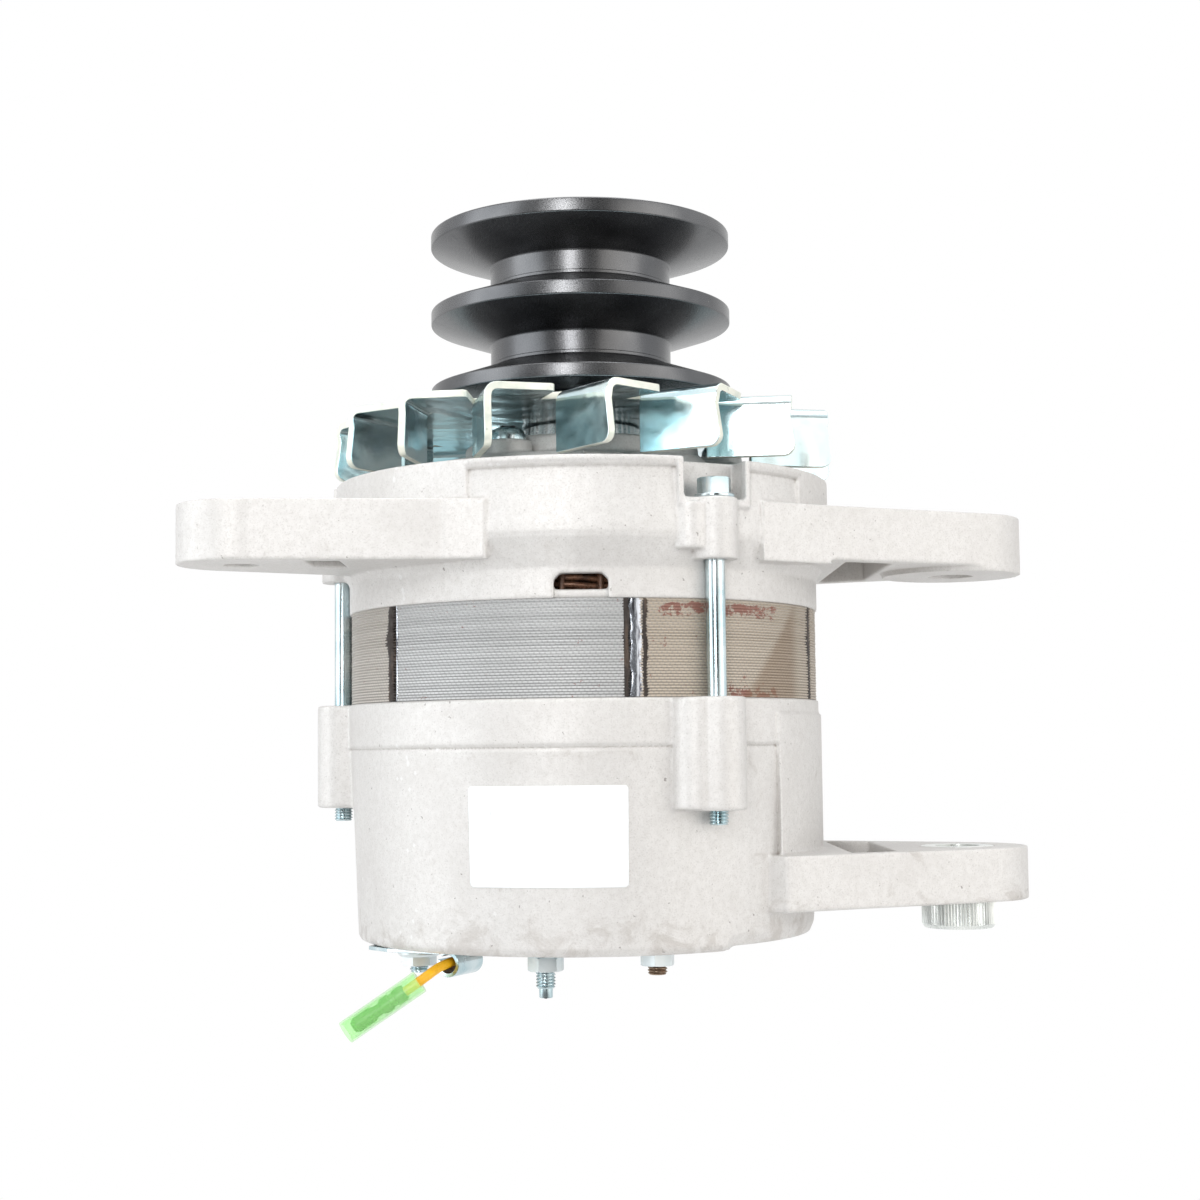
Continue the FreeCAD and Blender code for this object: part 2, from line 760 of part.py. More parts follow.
def make_front_bracket():
    body = body_at("front_bracket")
    low = STACK_TOP
    revolve(body, [
        (0.0, low),
        (S.skirt_r, low),
        (S.skirt_r, low + S.skirt_band),
        (SHROUD_R, S.shroud_low),
        (SHROUD_R, S.shroud_rise),
        (SHROUD_R - S.shroud_wall, S.shroud_rise),
        (SHROUD_R - S.shroud_wall, S.face_rim_z),
        (FACE_LOW_R, S.face_low_z),
        (FACE_HIGH_R, S.face_high_z),
        (S.bearing_boss_r, S.face_high_z + S.face_boss_step),
        (S.bearing_boss_r, S.bearing_boss_rise),
        (0.0, S.bearing_boss_rise),
    ])
    pad(body, [lug_outline()], S.lug_pad, LUG_TOP)
    pad(body, [circle(S.lug_r, S.pivot_offset, 0.0)], 0.0, LUG_TOP)
    pad(body, [ear_outline()], S.ear_low, S.ear_low + S.ear_thickness)
    pad(body, [circle(S.ear_r, S.ear_x, S.ear_y)], S.ear_low, S.ear_low + S.ear_thickness)
    block = pad(body, [bolt_block(NOTCH_BACK_R - S.notch_wall)], S.front_boss_top - S.notch_floor,
                S.shroud_rise)
    web = pad(body, [rectangle(-BOLT_CIRCLE_R, -CAVITY_R, -S.front_boss_r, S.front_boss_r)],
              S.front_boss_low, S.front_boss_top)
    boss = pad(body, [circle(S.front_boss_r, -BOLT_CIRCLE_R, 0.0)], S.front_boss_low, S.front_boss_top)
    around(body, [block, web, boss], S.bolt_count)
    screw_boss = pad(body, [circle(S.retainer_boss_r, S.retainer_screw_circle_r, 0.0)],
                     S.face_high_z - S.retainer_boss_root, S.retainer_boss_rise)
    around(body, [screw_boss], S.retainer_screw_count)
    wall = S.face_wall
    groove(body, [
        (0.0, low - OVERCUT),
        (CAVITY_R, low - OVERCUT),
        (CAVITY_R, S.face_low_z - wall - S.cavity_corner_drop),
        (FACE_LOW_R - S.cavity_inset, S.face_low_z - wall),
        (FACE_HIGH_R - S.cavity_inset, S.face_high_z - wall),
        (S.bearing_boss_r, S.face_high_z - wall + S.cavity_crown),
        (S.bearing_boss_r, FRONT_BEARING_LOW),
        (S.front_bearing_r, FRONT_BEARING_LOW),
        (S.front_bearing_r, FRONT_BEARING_TOP),
        (S.bearing_boss_hole_r, FRONT_BEARING_TOP),
        (S.bearing_boss_hole_r, S.bearing_boss_rise + OVERCUT),
        (0.0, S.bearing_boss_rise + OVERCUT),
    ])
    half = S.notch_half_width
    notch = pocket(body, [rectangle(-SHROUD_R - S.notch_reach, -NOTCH_BACK_R, -half, half)],
                   S.front_boss_top, S.shroud_rise + OVERCUT)
    bolt_hole = pocket(body, [circle(S.bolt_r + S.bolt_hole_fit, -BOLT_CIRCLE_R, 0.0)],
                       low - OVERCUT, S.front_boss_top + OVERCUT)
    around(body, [notch, bolt_hole], S.bolt_count)
    vents = []
    for turn in (S.vent_turn, S.vent_turn * 2):
        vents.append(pocket(body, [vent_outline(turn)], LUG_TOP, S.bearing_boss_rise))
    around(body, vents, S.bolt_count)
    screw_bore = circle(S.retainer_screw_r + S.retainer_screw_fit, S.retainer_screw_circle_r, 0.0)
    screw_hole = pocket(body, [screw_bore], FRONT_BEARING_LOW, S.retainer_boss_rise + OVERCUT)
    around(body, [screw_hole], S.retainer_screw_count)
    pocket(body, [circle(S.pivot_bolt_r, S.pivot_offset, 0.0)], -OVERCUT, LUG_TOP + OVERCUT)
    ear_top = S.ear_low + S.ear_thickness
    pocket(body, [circle(S.ear_hole_r, S.ear_x, S.ear_y)], S.ear_low - OVERCUT, ear_top + OVERCUT)
    pocket(body, [lug_hollow()], S.lug_pad - OVERCUT, LUG_TOP - S.lug_web)
    pocket(body, [ear_hollow()], S.ear_low - OVERCUT, ear_top - S.lug_web)
    lip_top = low + S.window_lip
    side_pocket(body, [window_outline(low - OVERCUT)], SHROUD_R, CAVITY_R + S.window_lip_wall)
    side_pocket(body, [window_outline(lip_top)], SHROUD_R, CAVITY_R - S.skirt_wall)
    recess_top = S.shroud_rise - S.shroud_lip
    fade = [
        (SHROUD_R, S.panel_low),
        (SHROUD_R + S.panel_reach, S.panel_low),
        (SHROUD_R + S.panel_reach, recess_top),
        (SHROUD_R - S.panel_recess, recess_top),
    ]
    groove(body, fade, start=S.panel_start, angle=S.panel_turn)
    groove(body, fade, start=S.side_panel_start, angle=S.side_panel_turn)
    return body


def window_outline(bottom):
    """The cooling window over the stack, from a height up, with cut upper corners."""
    half = S.window_half_width
    top = STACK_TOP + S.window_height
    corner = S.window_corner
    return polygon((-half, bottom), (half, bottom), (half, top - corner), (half - corner, top),
                   (corner - half, top), (-half, top - corner))


def vent_outline(turn):
    """An air opening in the front face, as a four-sided outline at an angle from +X."""
    inner = S.vent_inner_r
    outer = VENT_OUTER_R
    half = S.vent_half_width
    narrow = half * S.vent_taper
    corners = [(inner, -narrow), (outer, -half), (outer, half), (inner, narrow)]
    return polygon(*[turned_point(along, across, turn) for along, across in corners])


def wall_radius(height):
    """The rear bracket's outer radius where its wall tapers."""
    top = STACK_LOW - S.rear_band
    low = REAR_FACE + S.rear_round
    drop = (top - size(height)) / (top - low)
    return S.skirt_r - S.rear_step - (S.skirt_r - S.rear_step - REAR_LOW_R) * drop


def make_rear_bracket():
    body = body_at("rear_bracket")
    top = STACK_LOW
    band_low = top - S.rear_band
    taper_top = wall_radius(band_low)
    corner = S.rear_round * S.rear_round_share
    revolve(body, [
        (0.0, REAR_FACE),
        (REAR_LOW_R - S.rear_round, REAR_FACE),
        (REAR_LOW_R - corner, REAR_FACE + corner),
        (REAR_LOW_R, REAR_FACE + S.rear_round),
        (taper_top, band_low),
        (S.skirt_r, band_low + S.rear_band_slope),
        (S.skirt_r, top),
        (0.0, top),
    ])
    pad(body, [segment(REAR_SIDE_R, REAR_SIDE_X)], REAR_LUG_LOW, top - S.rear_side_drop)
    pad(body, [lug_outline()], REAR_LUG_LOW, REAR_LUG_TOP)
    pad(body, [circle(S.lug_r, S.pivot_offset, 0.0)], REAR_LUG_LOW, REAR_LUG_TOP)
    boss_low = top - S.rear_boss_length
    web = pad(body, [rectangle(-BOLT_CIRCLE_R, -CAVITY_R, -S.rear_boss_r, S.rear_boss_r)], boss_low, top)
    boss = pad(body, [circle(S.rear_boss_r, -BOLT_CIRCLE_R, 0.0)], boss_low, top)
    around(body, [web, boss], S.bolt_count)
    seat_r = S.rear_bearing_r
    groove(body, [
        (0.0, top + OVERCUT),
        (CAVITY_R, top + OVERCUT),
        (CAVITY_R, REAR_LUG_TOP + S.rear_wall_knee),
        (REAR_INNER_R, FLOOR_TOP),
        (seat_r + S.rear_boss_wall, FLOOR_TOP),
        (seat_r + S.rear_boss_wall, REAR_BEARING_TOP),
        (seat_r, REAR_BEARING_TOP),
        (seat_r, REAR_BEARING_LOW),
        (seat_r - S.rear_seat_lip, REAR_BEARING_LOW),
        (seat_r - S.rear_seat_lip, REAR_BEARING_LOW - S.rear_seat_relief),
        (0.0, REAR_BEARING_LOW - S.rear_seat_relief),
    ])
    bolt_hole = pocket(body, [circle(S.bolt_r + S.bolt_hole_fit, -BOLT_CIRCLE_R, 0.0)],
                       boss_low - OVERCUT, top + OVERCUT)
    around(body, [bolt_hole], S.bolt_count)
    wide = S.air_half_width
    narrow = wide * S.air_taper
    inner = S.air_inner_r
    opening = polygon((inner, -narrow), (AIR_OUTER_R, -wide), (AIR_OUTER_R, wide), (inner, narrow))
    air = pocket(body, [opening], REAR_FACE - OVERCUT, FLOOR_TOP + OVERCUT)
    around(body, [air], S.air_count)
    pocket(body, [rectangle(REAR_PAD_EDGE_X, REAR_LOW_R + OVERCUT, -REAR_LOW_R, REAR_LOW_R)],
           REAR_FACE - OVERCUT, REAR_FACE + S.rear_pad)
    pocket(body, [circle(S.bush_r + S.bush_fit, S.pivot_offset, 0.0)],
           REAR_LUG_LOW - OVERCUT, REAR_LUG_TOP + OVERCUT)
    pocket(body, [lug_hollow()], REAR_LUG_LOW + S.lug_web, REAR_LUG_TOP + OVERCUT)
    holes = [
        circle(S.insulator_r, S.charge_x, CHARGE_Y),
        circle(S.stud_hole_r, S.earth_x, EARTH_Y),
        circle(S.stud_hole_r, CLIP_STUD_X, CLIP_STUD_Y),
        *[circle(S.small_screw_r + S.small_screw_fit, x, y) for x, y in SMALL_SCREWS],
    ]
    pocket(body, holes, REAR_FACE - OVERCUT, FLOOR_TOP + OVERCUT)
    return body


def make_stator_core():
    body = body_at("stator_core")
    revolve(body, [
        (STACK_BORE_R, STACK_LOW),
        (STACK_R, STACK_LOW),
        (STACK_R, STACK_TOP),
        (STACK_BORE_R, STACK_TOP),
    ])
    slot = pocket(body, [slot_outline()], STACK_LOW - OVERCUT, STACK_TOP + OVERCUT)
    around(body, [slot], S.slot_count)
    weld_x, weld_y = polar(STACK_R + S.weld_offset, S.weld_turn)
    weld = pocket(body, [circle(S.weld_groove_r, weld_x, weld_y)], STACK_LOW - OVERCUT, STACK_TOP + OVERCUT)
    around(body, [weld], S.weld_count)
    return body


def slot_outline(clearance=0.0):
    """One winding slot of the stack, or the bar that lies in it with a clearance all round."""
    half = S.slot_half_width - clearance
    inner = STACK_BORE_R - OVERCUT if clearance == 0.0 else WINDING_INNER_R
    return rectangle(inner, STACK_BORE_R + S.slot_depth - clearance, -half, half)


def make_stator_winding():
    body = body_at("stator_winding")
    inner = WINDING_INNER_R
    outer = WINDING_OUTER_R
    for low, high in ((STACK_TOP + S.winding_start, STACK_TOP + S.winding_reach),
                      (STACK_LOW - S.winding_reach, STACK_LOW - S.winding_start)):
        revolve(body, [
            (inner, low),
            (outer, low),
            (outer + S.winding_belly, (low + high) / 2),
            (outer - S.winding_outer_round, high),
            (inner + S.winding_inner_round, high),
        ])
    reach = S.winding_overlap
    bar = pad(body, [slot_outline(S.slot_liner)], STACK_LOW - reach, STACK_TOP + reach)
    around(body, [bar], S.slot_count)
    return body


def make_claw_pole(name, side, turn):
    """A claw pole: side is 1 for the pulley's end and -1 for the rear, turn its angle."""
    body = body_at(name)
    end = POLE_TOP if side > 0 else POLE_LOW
    disc = end - S.pole_disc * side
    tip = end - (S.pole_length - S.claw_tip_gap) * side
    corners = [
        (S.core_seat_r, end),
        (ROTOR_R - S.claw_chamfer, end),
        (ROTOR_R, end - S.claw_chamfer * side),
        (ROTOR_R, tip),
        (CLAW_INNER_R + S.claw_tip_taper, tip),
        (CLAW_INNER_R, disc - S.claw_root_round * side),
        (CLAW_INNER_R - S.claw_root_round, disc),
        (S.core_r, disc),
        (S.core_r, STACK_MID),
        (S.core_seat_r, STACK_MID),
    ]
    revolve(body, corners)
    gap = side_pocket(body, [polygon(
        (-S.claw_gap_root, end + OVERCUT * side),
        (-S.claw_gap_root, disc),
        (-S.claw_gap_tip, tip - OVERCUT * side),
        (S.claw_gap_tip, tip - OVERCUT * side),
        (S.claw_gap_root, disc),
        (S.claw_gap_root, end + OVERCUT * side),
    )], ROTOR_R + OVERCUT, CLAW_INNER_R - S.claw_gap_depth, turn=turn)
    around(body, [gap], S.claw_count)
    return body


def make_coil_and_bobbin():
    low = POLE_LOW + S.pole_disc
    high = POLE_TOP - S.pole_disc
    wall = S.bobbin_wall
    bobbin = body_at("coil_bobbin")
    revolve(bobbin, [
        (S.core_r, low),
        (COIL_R, low),
        (COIL_R, low + wall),
        (S.core_r + wall, low + wall),
        (S.core_r + wall, high - wall),
        (COIL_R, high - wall),
        (COIL_R, high),
        (S.core_r, high),
    ])
    coil = ring("field_coil", S.core_r + wall, COIL_R - S.coil_drop, low + wall, high - wall)
    return [bobbin, coil]


def make_shaft():
    body = body_at("rotor_shaft")
    low = REAR_BEARING_LOW
    revolve(body, [
        (0.0, low),
        (S.shaft_tail_r - S.shaft_chamfer, low),
        (S.shaft_tail_r, low + S.shaft_chamfer),
        (S.shaft_tail_r, REAR_BEARING_TOP),
        (S.shaft_r, REAR_BEARING_TOP),
        (S.shaft_r, POLE_LOW),
        (S.core_seat_r, POLE_LOW),
        (S.core_seat_r, POLE_TOP),
        (S.shaft_collar_r, POLE_TOP),
        (S.shaft_collar_r, FRONT_BEARING_LOW),
        (S.shaft_r, FRONT_BEARING_LOW),
        (S.shaft_r, RECESS_FLOOR),
        (S.thread_r, RECESS_FLOOR),
        (S.thread_r, SHAFT_TOP - S.thread_chamfer),
        (S.thread_r - S.thread_chamfer, SHAFT_TOP),
        (0.0, SHAFT_TOP),
    ])
    half = S.key_width / 2
    low, high = key_span()
    pocket(body, [rectangle(S.shaft_r - S.key_sink, S.shaft_r + OVERCUT, -half, half)], low, high)
    return body


def key_span():
    """The key's lowest and highest points, at the middle of the pulley."""
    middle = (FAN_TOP + RECESS_FLOOR) / 2
    return middle - S.key_length / 2, middle + S.key_length / 2


def make_key():
    body = body_at("shaft_key")
    half = S.key_width / 2
    low, high = key_span()
    pad(body, [rectangle(S.shaft_r - S.key_sink, S.shaft_r + S.key_rise, -half, half)], low, high)
    return body


def make_pulley():
    body = body_at("belt_pulley")
    side = (S.groove_top - S.groove_bottom) / 2
    chamfer = S.rim_chamfer
    outer = S.pulley_r
    corners = [(S.shaft_r, FAN_TOP), (S.pulley_boss_r, FAN_TOP), (S.pulley_boss_r, RIM_LOW)]
    low = RIM_LOW
    for rim in range(GROOVES + 1):
        high = low + S.rim_width
        corners += [(outer - chamfer, low), (outer, low + chamfer)]
        corners += [(outer, high - chamfer), (outer - chamfer, high)]
        if rim < GROOVES:
            corners += [(S.pulley_hub_r, high + side), (S.pulley_hub_r, high + side + S.groove_bottom)]
        low = high + S.groove_top
    recess = S.pulley_recess_r
    corners += [(recess, PULLEY_TOP), (recess, RECESS_FLOOR), (S.shaft_r, RECESS_FLOOR)]
    revolve(body, corners)
    half = S.key_width / 2 + S.key_fit
    pocket(body, [rectangle(0.0, S.shaft_r + S.key_rise + S.key_fit, -half, half)],
           FAN_TOP - OVERCUT, RECESS_FLOOR)
    return body


def make_fan():
    body = body_at("cooling_fan")
    pad(body, [circle(S.fan_disc_r), circle(S.shaft_r + S.fan_bore_fit)], FAN_LOW, FAN_TOP)
    inner_turn = S.blade_turn - S.blade_sweep
    outer = polar(S.blade_outer_r, S.blade_turn)
    inner = polar(S.blade_inner_r, inner_turn)
    step_x, step_y = side_step(inner, outer, S.fan_sheet)
    blade = pad(body, [polygon(inner, outer, (outer[0] + step_x, outer[1] + step_y),
                               (inner[0] + step_x, inner[1] + step_y))], FAN_TOP - S.blade_height, FAN_TOP)
    root_r = S.fan_disc_r - S.fan_sheet
    petal = pad(body, [polygon(
        polar(root_r, inner_turn),
        inner,
        outer,
        polar(S.petal_r, S.blade_turn + S.petal_turn),
        polar(root_r, S.blade_turn + S.petal_root_turn),
    )], FAN_LOW, FAN_TOP)
    around(body, [petal, blade], S.blade_count)
    return body


def make_collar():
    body = body_at("fan_collar")
    step = FAN_LOW - S.collar_flange
    revolve(body, [
        (S.shaft_r, FRONT_BEARING_TOP),
        (S.collar_neck_r, FRONT_BEARING_TOP),
        (S.collar_neck_r, step),
        (S.collar_r, step),
        (S.collar_r, FAN_LOW),
        (S.shaft_r, FAN_LOW),
    ])
    return body


def make_bearing(prefix, bore, outer, low, high):
    """Three nodes: outer race with its shields, inner race, and the balls in their cage."""
    race = (outer - bore) * S.race_share
    lip = S.shield
    inner_r = size(bore) + race
    groove_r = outer - race
    guard_r = inner_r + S.shield_fit
    outer_race = body_at(f"{prefix}_bearing_outer_race")
    revolve(outer_race, [
        (outer, low),
        (outer, high),
        (guard_r, high),
        (guard_r, high - lip),
        (groove_r, high - lip),
        (groove_r, low + lip),
        (guard_r, low + lip),
        (guard_r, low),
    ])
    inner_race = ring(f"{prefix}_bearing_inner_race", bore, inner_r, low, high)
    ball_r = (groove_r - inner_r) / 2 - S.ball_fit
    pitch_r = (groove_r + inner_r) / 2
    middle = (low + high) / 2
    balls = body_at(f"{prefix}_bearing_balls")
    wall = S.cage_wall / 2
    rise = S.cage_height / 2
    revolve(balls, [
        (pitch_r - wall, middle - rise),
        (pitch_r + wall, middle - rise),
        (pitch_r + wall, middle + rise),
        (pitch_r - wall, middle + rise),
    ])
    ball = balls.newObject("PartDesign::AdditiveSphere", f"{prefix}_ball")
    bind(ball, "Radius", ball_r)
    ball.AttachmentSupport = [(origin_item(balls, "XY_Plane"), "")]
    ball.MapMode = "FlatFace"
    bind(ball, "AttachmentOffset.Base.x", pitch_r)
    bind(ball, "AttachmentOffset.Base.z", middle)
    around(balls, [ball], S.ball_count)
    return [outer_race, inner_race, balls]


def make_retainer():
    plate = body_at("bearing_retainer")
    low = FRONT_BEARING_LOW - S.retainer
    pad(plate, [circle(S.retainer_r), circle(S.retainer_hole_r)], low, FRONT_BEARING_LOW)
    half = S.retainer_boss_r
    reach = S.retainer_screw_circle_r
    lobe = pad(plate, [circle(half, reach, 0.0)], low, FRONT_BEARING_LOW)
    arm_root = S.retainer_hole_r + S.retainer_arm_inset
    arm = pad(plate, [rectangle(arm_root, reach, -half, half)], low, FRONT_BEARING_LOW)
    around(plate, [lobe, arm], S.retainer_screw_count)
    hole = pocket(plate, [circle(S.retainer_screw_r, S.retainer_screw_circle_r, 0.0)],
                  low - OVERCUT, FRONT_BEARING_LOW + OVERCUT)
    around(plate, [hole], S.retainer_screw_count)
    screws = body_at("retainer_screws")
    shank = pad(screws, [circle(S.retainer_screw_r, S.retainer_screw_circle_r, 0.0)],
                low - S.retainer_screw_tail, S.retainer_boss_rise)
    head = pad(screws, [circle(S.retainer_screw_head_r, S.retainer_screw_circle_r, 0.0)],
               S.retainer_boss_rise, S.retainer_boss_rise + S.retainer_screw_head)
    around(screws, [shank, head], S.retainer_screw_count)
    return [plate, screws]


def make_through_bolts():
    bolts = body_at("through_bolts")
    seat = S.front_boss_top + S.bolt_washer
    shank = pad(bolts, [circle(S.bolt_r, -BOLT_CIRCLE_R, 0.0)],
                STACK_LOW - S.rear_boss_length - S.bolt_tail, seat)
    head = pad(bolts, [hexagon(S.bolt_across_flats, -BOLT_CIRCLE_R, 0.0)], seat, seat + S.bolt_head)
    around(bolts, [shank, head], S.bolt_count)
    washers = body_at("through_bolt_washers")
    outline = [
        circle(S.bolt_washer_r, -BOLT_CIRCLE_R, 0.0),
        circle(S.bolt_r + S.bolt_hole_fit / 2, -BOLT_CIRCLE_R, 0.0),
    ]
    washer = pad(washers, outline, S.front_boss_top, seat)
    around(washers, [washer], S.bolt_count)
    return [bolts, washers]


def make_pulley_fixings():
    nut = body_at("pulley_nut")
    pad(nut, [hexagon(S.nut_across_flats), circle(S.thread_r)], NUT_LOW, NUT_TOP)
    bore = S.thread_r + S.lock_washer_fit
    washer = ring("pulley_lock_washer", bore, S.lock_washer_r, RECESS_FLOOR, NUT_LOW)
    return [nut, washer]


def make_slip_rings():
    sleeve = ring("slip_ring_sleeve", S.shaft_r, S.ring_sleeve_r,
                  RING_LOW - S.ring_margin, RING_TOP + S.ring_margin)
    rings = body_at("slip_rings")
    for low in (RING_LOW, RING_TOP - S.ring_width):
        pad(rings, [circle(S.ring_r), circle(S.ring_sleeve_r)], low, low + S.ring_width)
    return [sleeve, rings]


def make_bush():
    body = body_at("slip_bush", S.pivot_offset, 0.0)
    low = REAR_LUG_LOW - S.bush_overhang
    pad(body, [circle(S.bush_r), circle(S.pivot_bolt_r)], low, REAR_LUG_TOP)
    depth = S.bush_groove
    cut = pocket(body, [polygon(
        (S.bush_r - depth, 0.0),
        (S.bush_r + depth, -2 * depth),
        (S.bush_r + depth, 2 * depth),
    )], low - OVERCUT, REAR_LUG_TOP + OVERCUT)
    around(body, [cut], S.bush_groove_count)
    return body


def make_label():
    body = body_at("rear_label")
    top = S.label_top_z
    low = top - S.label_height
    revolve(body, [
        (wall_radius(low), low),
        (wall_radius(low) + S.label_sheet, low),
        (wall_radius(top) + S.label_sheet, top),
        (wall_radius(top), top),
    ], start=S.label_start, angle=S.label_turn)
    return body


def make_stud(name, x, y, reach, nut_low, inside):
    """A terminal stud: its thread outside the nut, its shank through the wall, and its head inside."""
    body = body_at(name, x, y)
    pad(body, [circle(S.stud_r)], REAR_FACE - reach, nut_low - S.stud_runout)
    pad(body, [circle(S.stud_shank_r)], nut_low - S.stud_runout, inside)
    pad(body, [circle(S.stud_head_r)], inside, inside + S.stud_head)
    return body


def make_stud_nut(name, x, y, seat):
    body = body_at(name, x, y)
    pad(body, [hexagon(S.stud_nut_across_flats), circle(S.stud_shank_r)], seat - S.stud_nut, seat)
    return body


def rectifier_heights():
    """The undersides of the two rectifier plates."""
    lower = FLOOR_TOP + S.plate_stand
    return lower, lower + S.plate_pitch


def make_terminals():
    lower, upper = rectifier_heights()
    washer_seat = REAR_FACE - S.terminal_washer
    clip_seat = REAR_FACE - S.clip_sheet
    charge = make_stud("charge_stud", S.charge_x, CHARGE_Y, S.charge_reach, washer_seat - S.stud_nut,
                       lower + S.plate_sheet)
    charge_nut = make_stud_nut("charge_stud_nut", S.charge_x, CHARGE_Y, washer_seat)
    insulator = body_at("charge_stud_insulator", S.charge_x, CHARGE_Y)
    revolve(insulator, [
        (S.stud_shank_r, washer_seat),
        (S.terminal_washer_r, washer_seat),
        (S.terminal_washer_r, REAR_FACE),
        (S.insulator_r, REAR_FACE),
        (S.insulator_r, lower),
        (S.stud_shank_r, lower),
    ])
    earth = make_stud("earth_stud", S.earth_x, EARTH_Y, S.earth_reach, REAR_FACE - S.stud_nut, FLOOR_TOP)
    earth_nut = make_stud_nut("earth_stud_nut", S.earth_x, EARTH_Y, REAR_FACE)
    clip_stud = make_stud("clip_stud", CLIP_STUD_X, CLIP_STUD_Y, S.clip_stud_reach, clip_seat - S.stud_nut,
                          FLOOR_TOP)
    clip_nut = body_at("clip_stud_nut", CLIP_STUD_X, CLIP_STUD_Y)
    bore = circle(S.stud_shank_r)
    pad(clip_nut, [circle(S.flange_nut_r), bore], clip_seat - S.flange_nut_flange, clip_seat)
    pad(clip_nut, [hexagon(S.stud_nut_across_flats), bore], clip_seat - S.stud_nut, clip_seat)
    return [charge, charge_nut, insulator, earth, earth_nut, clip_stud, clip_nut]


def make_clip():
    """A strip under the flange nut, rolled into a loop around the lead."""
    body = body_at("wire_clip", CLIP_STUD_X, CLIP_STUD_Y)
    turn = S.clip_turn
    half = S.clip_width / 2
    tail = S.clip_tail_width / 2
    corners = [
        (-S.clip_tail, -tail),
        (-S.flange_nut_r, -half),
        (S.clip_reach, -half),
        (S.clip_reach, half),
        (-S.flange_nut_r, half),
        (-S.clip_tail, tail),
    ]
    outline = polygon(*[turned_point(along, across, turn) for along, across in corners])
    pad(body, [outline, circle(S.stud_hole_r)], REAR_FACE - S.clip_sheet, REAR_FACE)
    loop_z = REAR_FACE - S.clip_loop_r
    inner_r = S.clip_loop_r - S.clip_sheet
    rings = [circle(S.clip_loop_r, S.clip_reach, loop_z), circle(inner_r, S.clip_reach, loop_z)]
    loop = body.newObject("PartDesign::Pad", "wire_clip_loop")
    loop.Profile = upright_sketch(body, rings, forward=-half, turn=turn)
    bind(loop, "Length", S.clip_width)
    return body


def diode_seats():
    """The three diodes' places, evenly spaced along a rectifier plate."""
    middle = S.plate_start + S.plate_turn / 2
    return [circle(S.diode_r, *polar(S.diode_circle_r, middle + S.diode_turn * step)) for step in (-1, 0, 1)]


def make_rectifier():
    lower, upper = rectifier_heights()
    made = []
    for name, low in (("positive_rectifier_plate", lower), ("negative_rectifier_plate", upper)):
        plate = body_at(name)
        revolve(plate, [
            (S.plate_inner_r, low),
            (PLATE_OUTER_R, low),
            (PLATE_OUTER_R, low + S.plate_sheet),
            (S.plate_inner_r, low + S.plate_sheet),
        ], start=S.plate_start, angle=S.plate_turn)
        holes = diode_seats()
        if name.startswith("positive"):
            holes.append(circle(S.stud_shank_r, S.charge_x, CHARGE_Y))
        pocket(plate, holes, low - OVERCUT, low + S.plate_sheet + OVERCUT)
        diodes = body_at(name.replace("rectifier_plate", "diodes"))
        pad(diodes, diode_seats(), low, low + S.diode_height)
        made += [plate, diodes]
    posts = body_at("rectifier_posts")
    turns = (S.plate_start + S.post_turn, S.plate_start + S.plate_turn - S.post_turn)
    ends = [circle(S.post_r, *polar(PLATE_OUTER_R - S.post_inset, turn)) for turn in turns]
    pad(posts, ends, FLOOR_TOP, lower)
    pad(posts, ends, lower + S.plate_sheet, upper)
    made.append(posts)
    return made


def make_brush_gear():
    holder = body_at("brush_holder")
    half = S.holder_half_width
    top = RING_TOP + S.holder_margin
    low = RING_LOW - S.holder_margin
    inner = S.holder_inner
    outer = S.holder_outer
    pad(holder, [rectangle(-half, half, inner, outer)], low, top)
    pad(holder, [rectangle(-half, half, outer - S.holder_foot, outer)], FLOOR_TOP, low)
    channel = S.brush_half_width + S.brush_fit
    for middle in (UPPER_BRUSH_Z, LOWER_BRUSH_Z):
        pocket(holder, [rectangle(-channel, channel, inner - OVERCUT, outer - S.holder_wall)],
               middle - S.brush_half_height - S.brush_fit, middle + S.brush_half_height + S.brush_fit)
    pocket(holder, [circle(S.small_screw_r, 0.0, outer - S.holder_screw_inset)],
           FLOOR_TOP - OVERCUT, FLOOR_TOP + S.small_screw_hole)
    made = [holder]
    start = S.ring_r + S.brush_rest_gap
    for name, middle in (("upper", UPPER_BRUSH_Z), ("lower", LOWER_BRUSH_Z)):
        brush = body_at(f"{name}_brush")
        pad(brush, [rectangle(-S.brush_half_width, S.brush_half_width, start, start + S.brush_length)],
            middle - S.brush_half_height, middle + S.brush_half_height)
        made.append(brush)
        made.append(make_brush_spring(f"{name}_brush_spring", middle, start + S.brush_length))
    return made


def make_brush_spring(name, middle, start):
    """A compression spring between a brush and the closed end of its channel."""
    spring = doc.addObject("Part::Feature", name)
    spring.Label = name
    coil_r = SIZES["spring_r"]
    wire_r = SIZES["spring_wire_r"]
    length = (S.holder_outer - S.holder_wall - start).value - 2 * wire_r
    helix = Part.makeHelix(length / SIZES["spring_turns"], length, coil_r)
    section = Part.Wire(Part.Circle(Vector(coil_r, 0, 0), Vector(0, 1, 0), wire_r).toShape())
    coil = Part.Wire(helix).makePipeShell([section], True, True)
    spring.Shape = coil
    turned = Rotation(Vector(1, 0, 0), -90)
    spring.Placement = Placement(Vector(-SIZES["pivot_offset"], start.value + wire_r, middle.value), turned)
    return spring


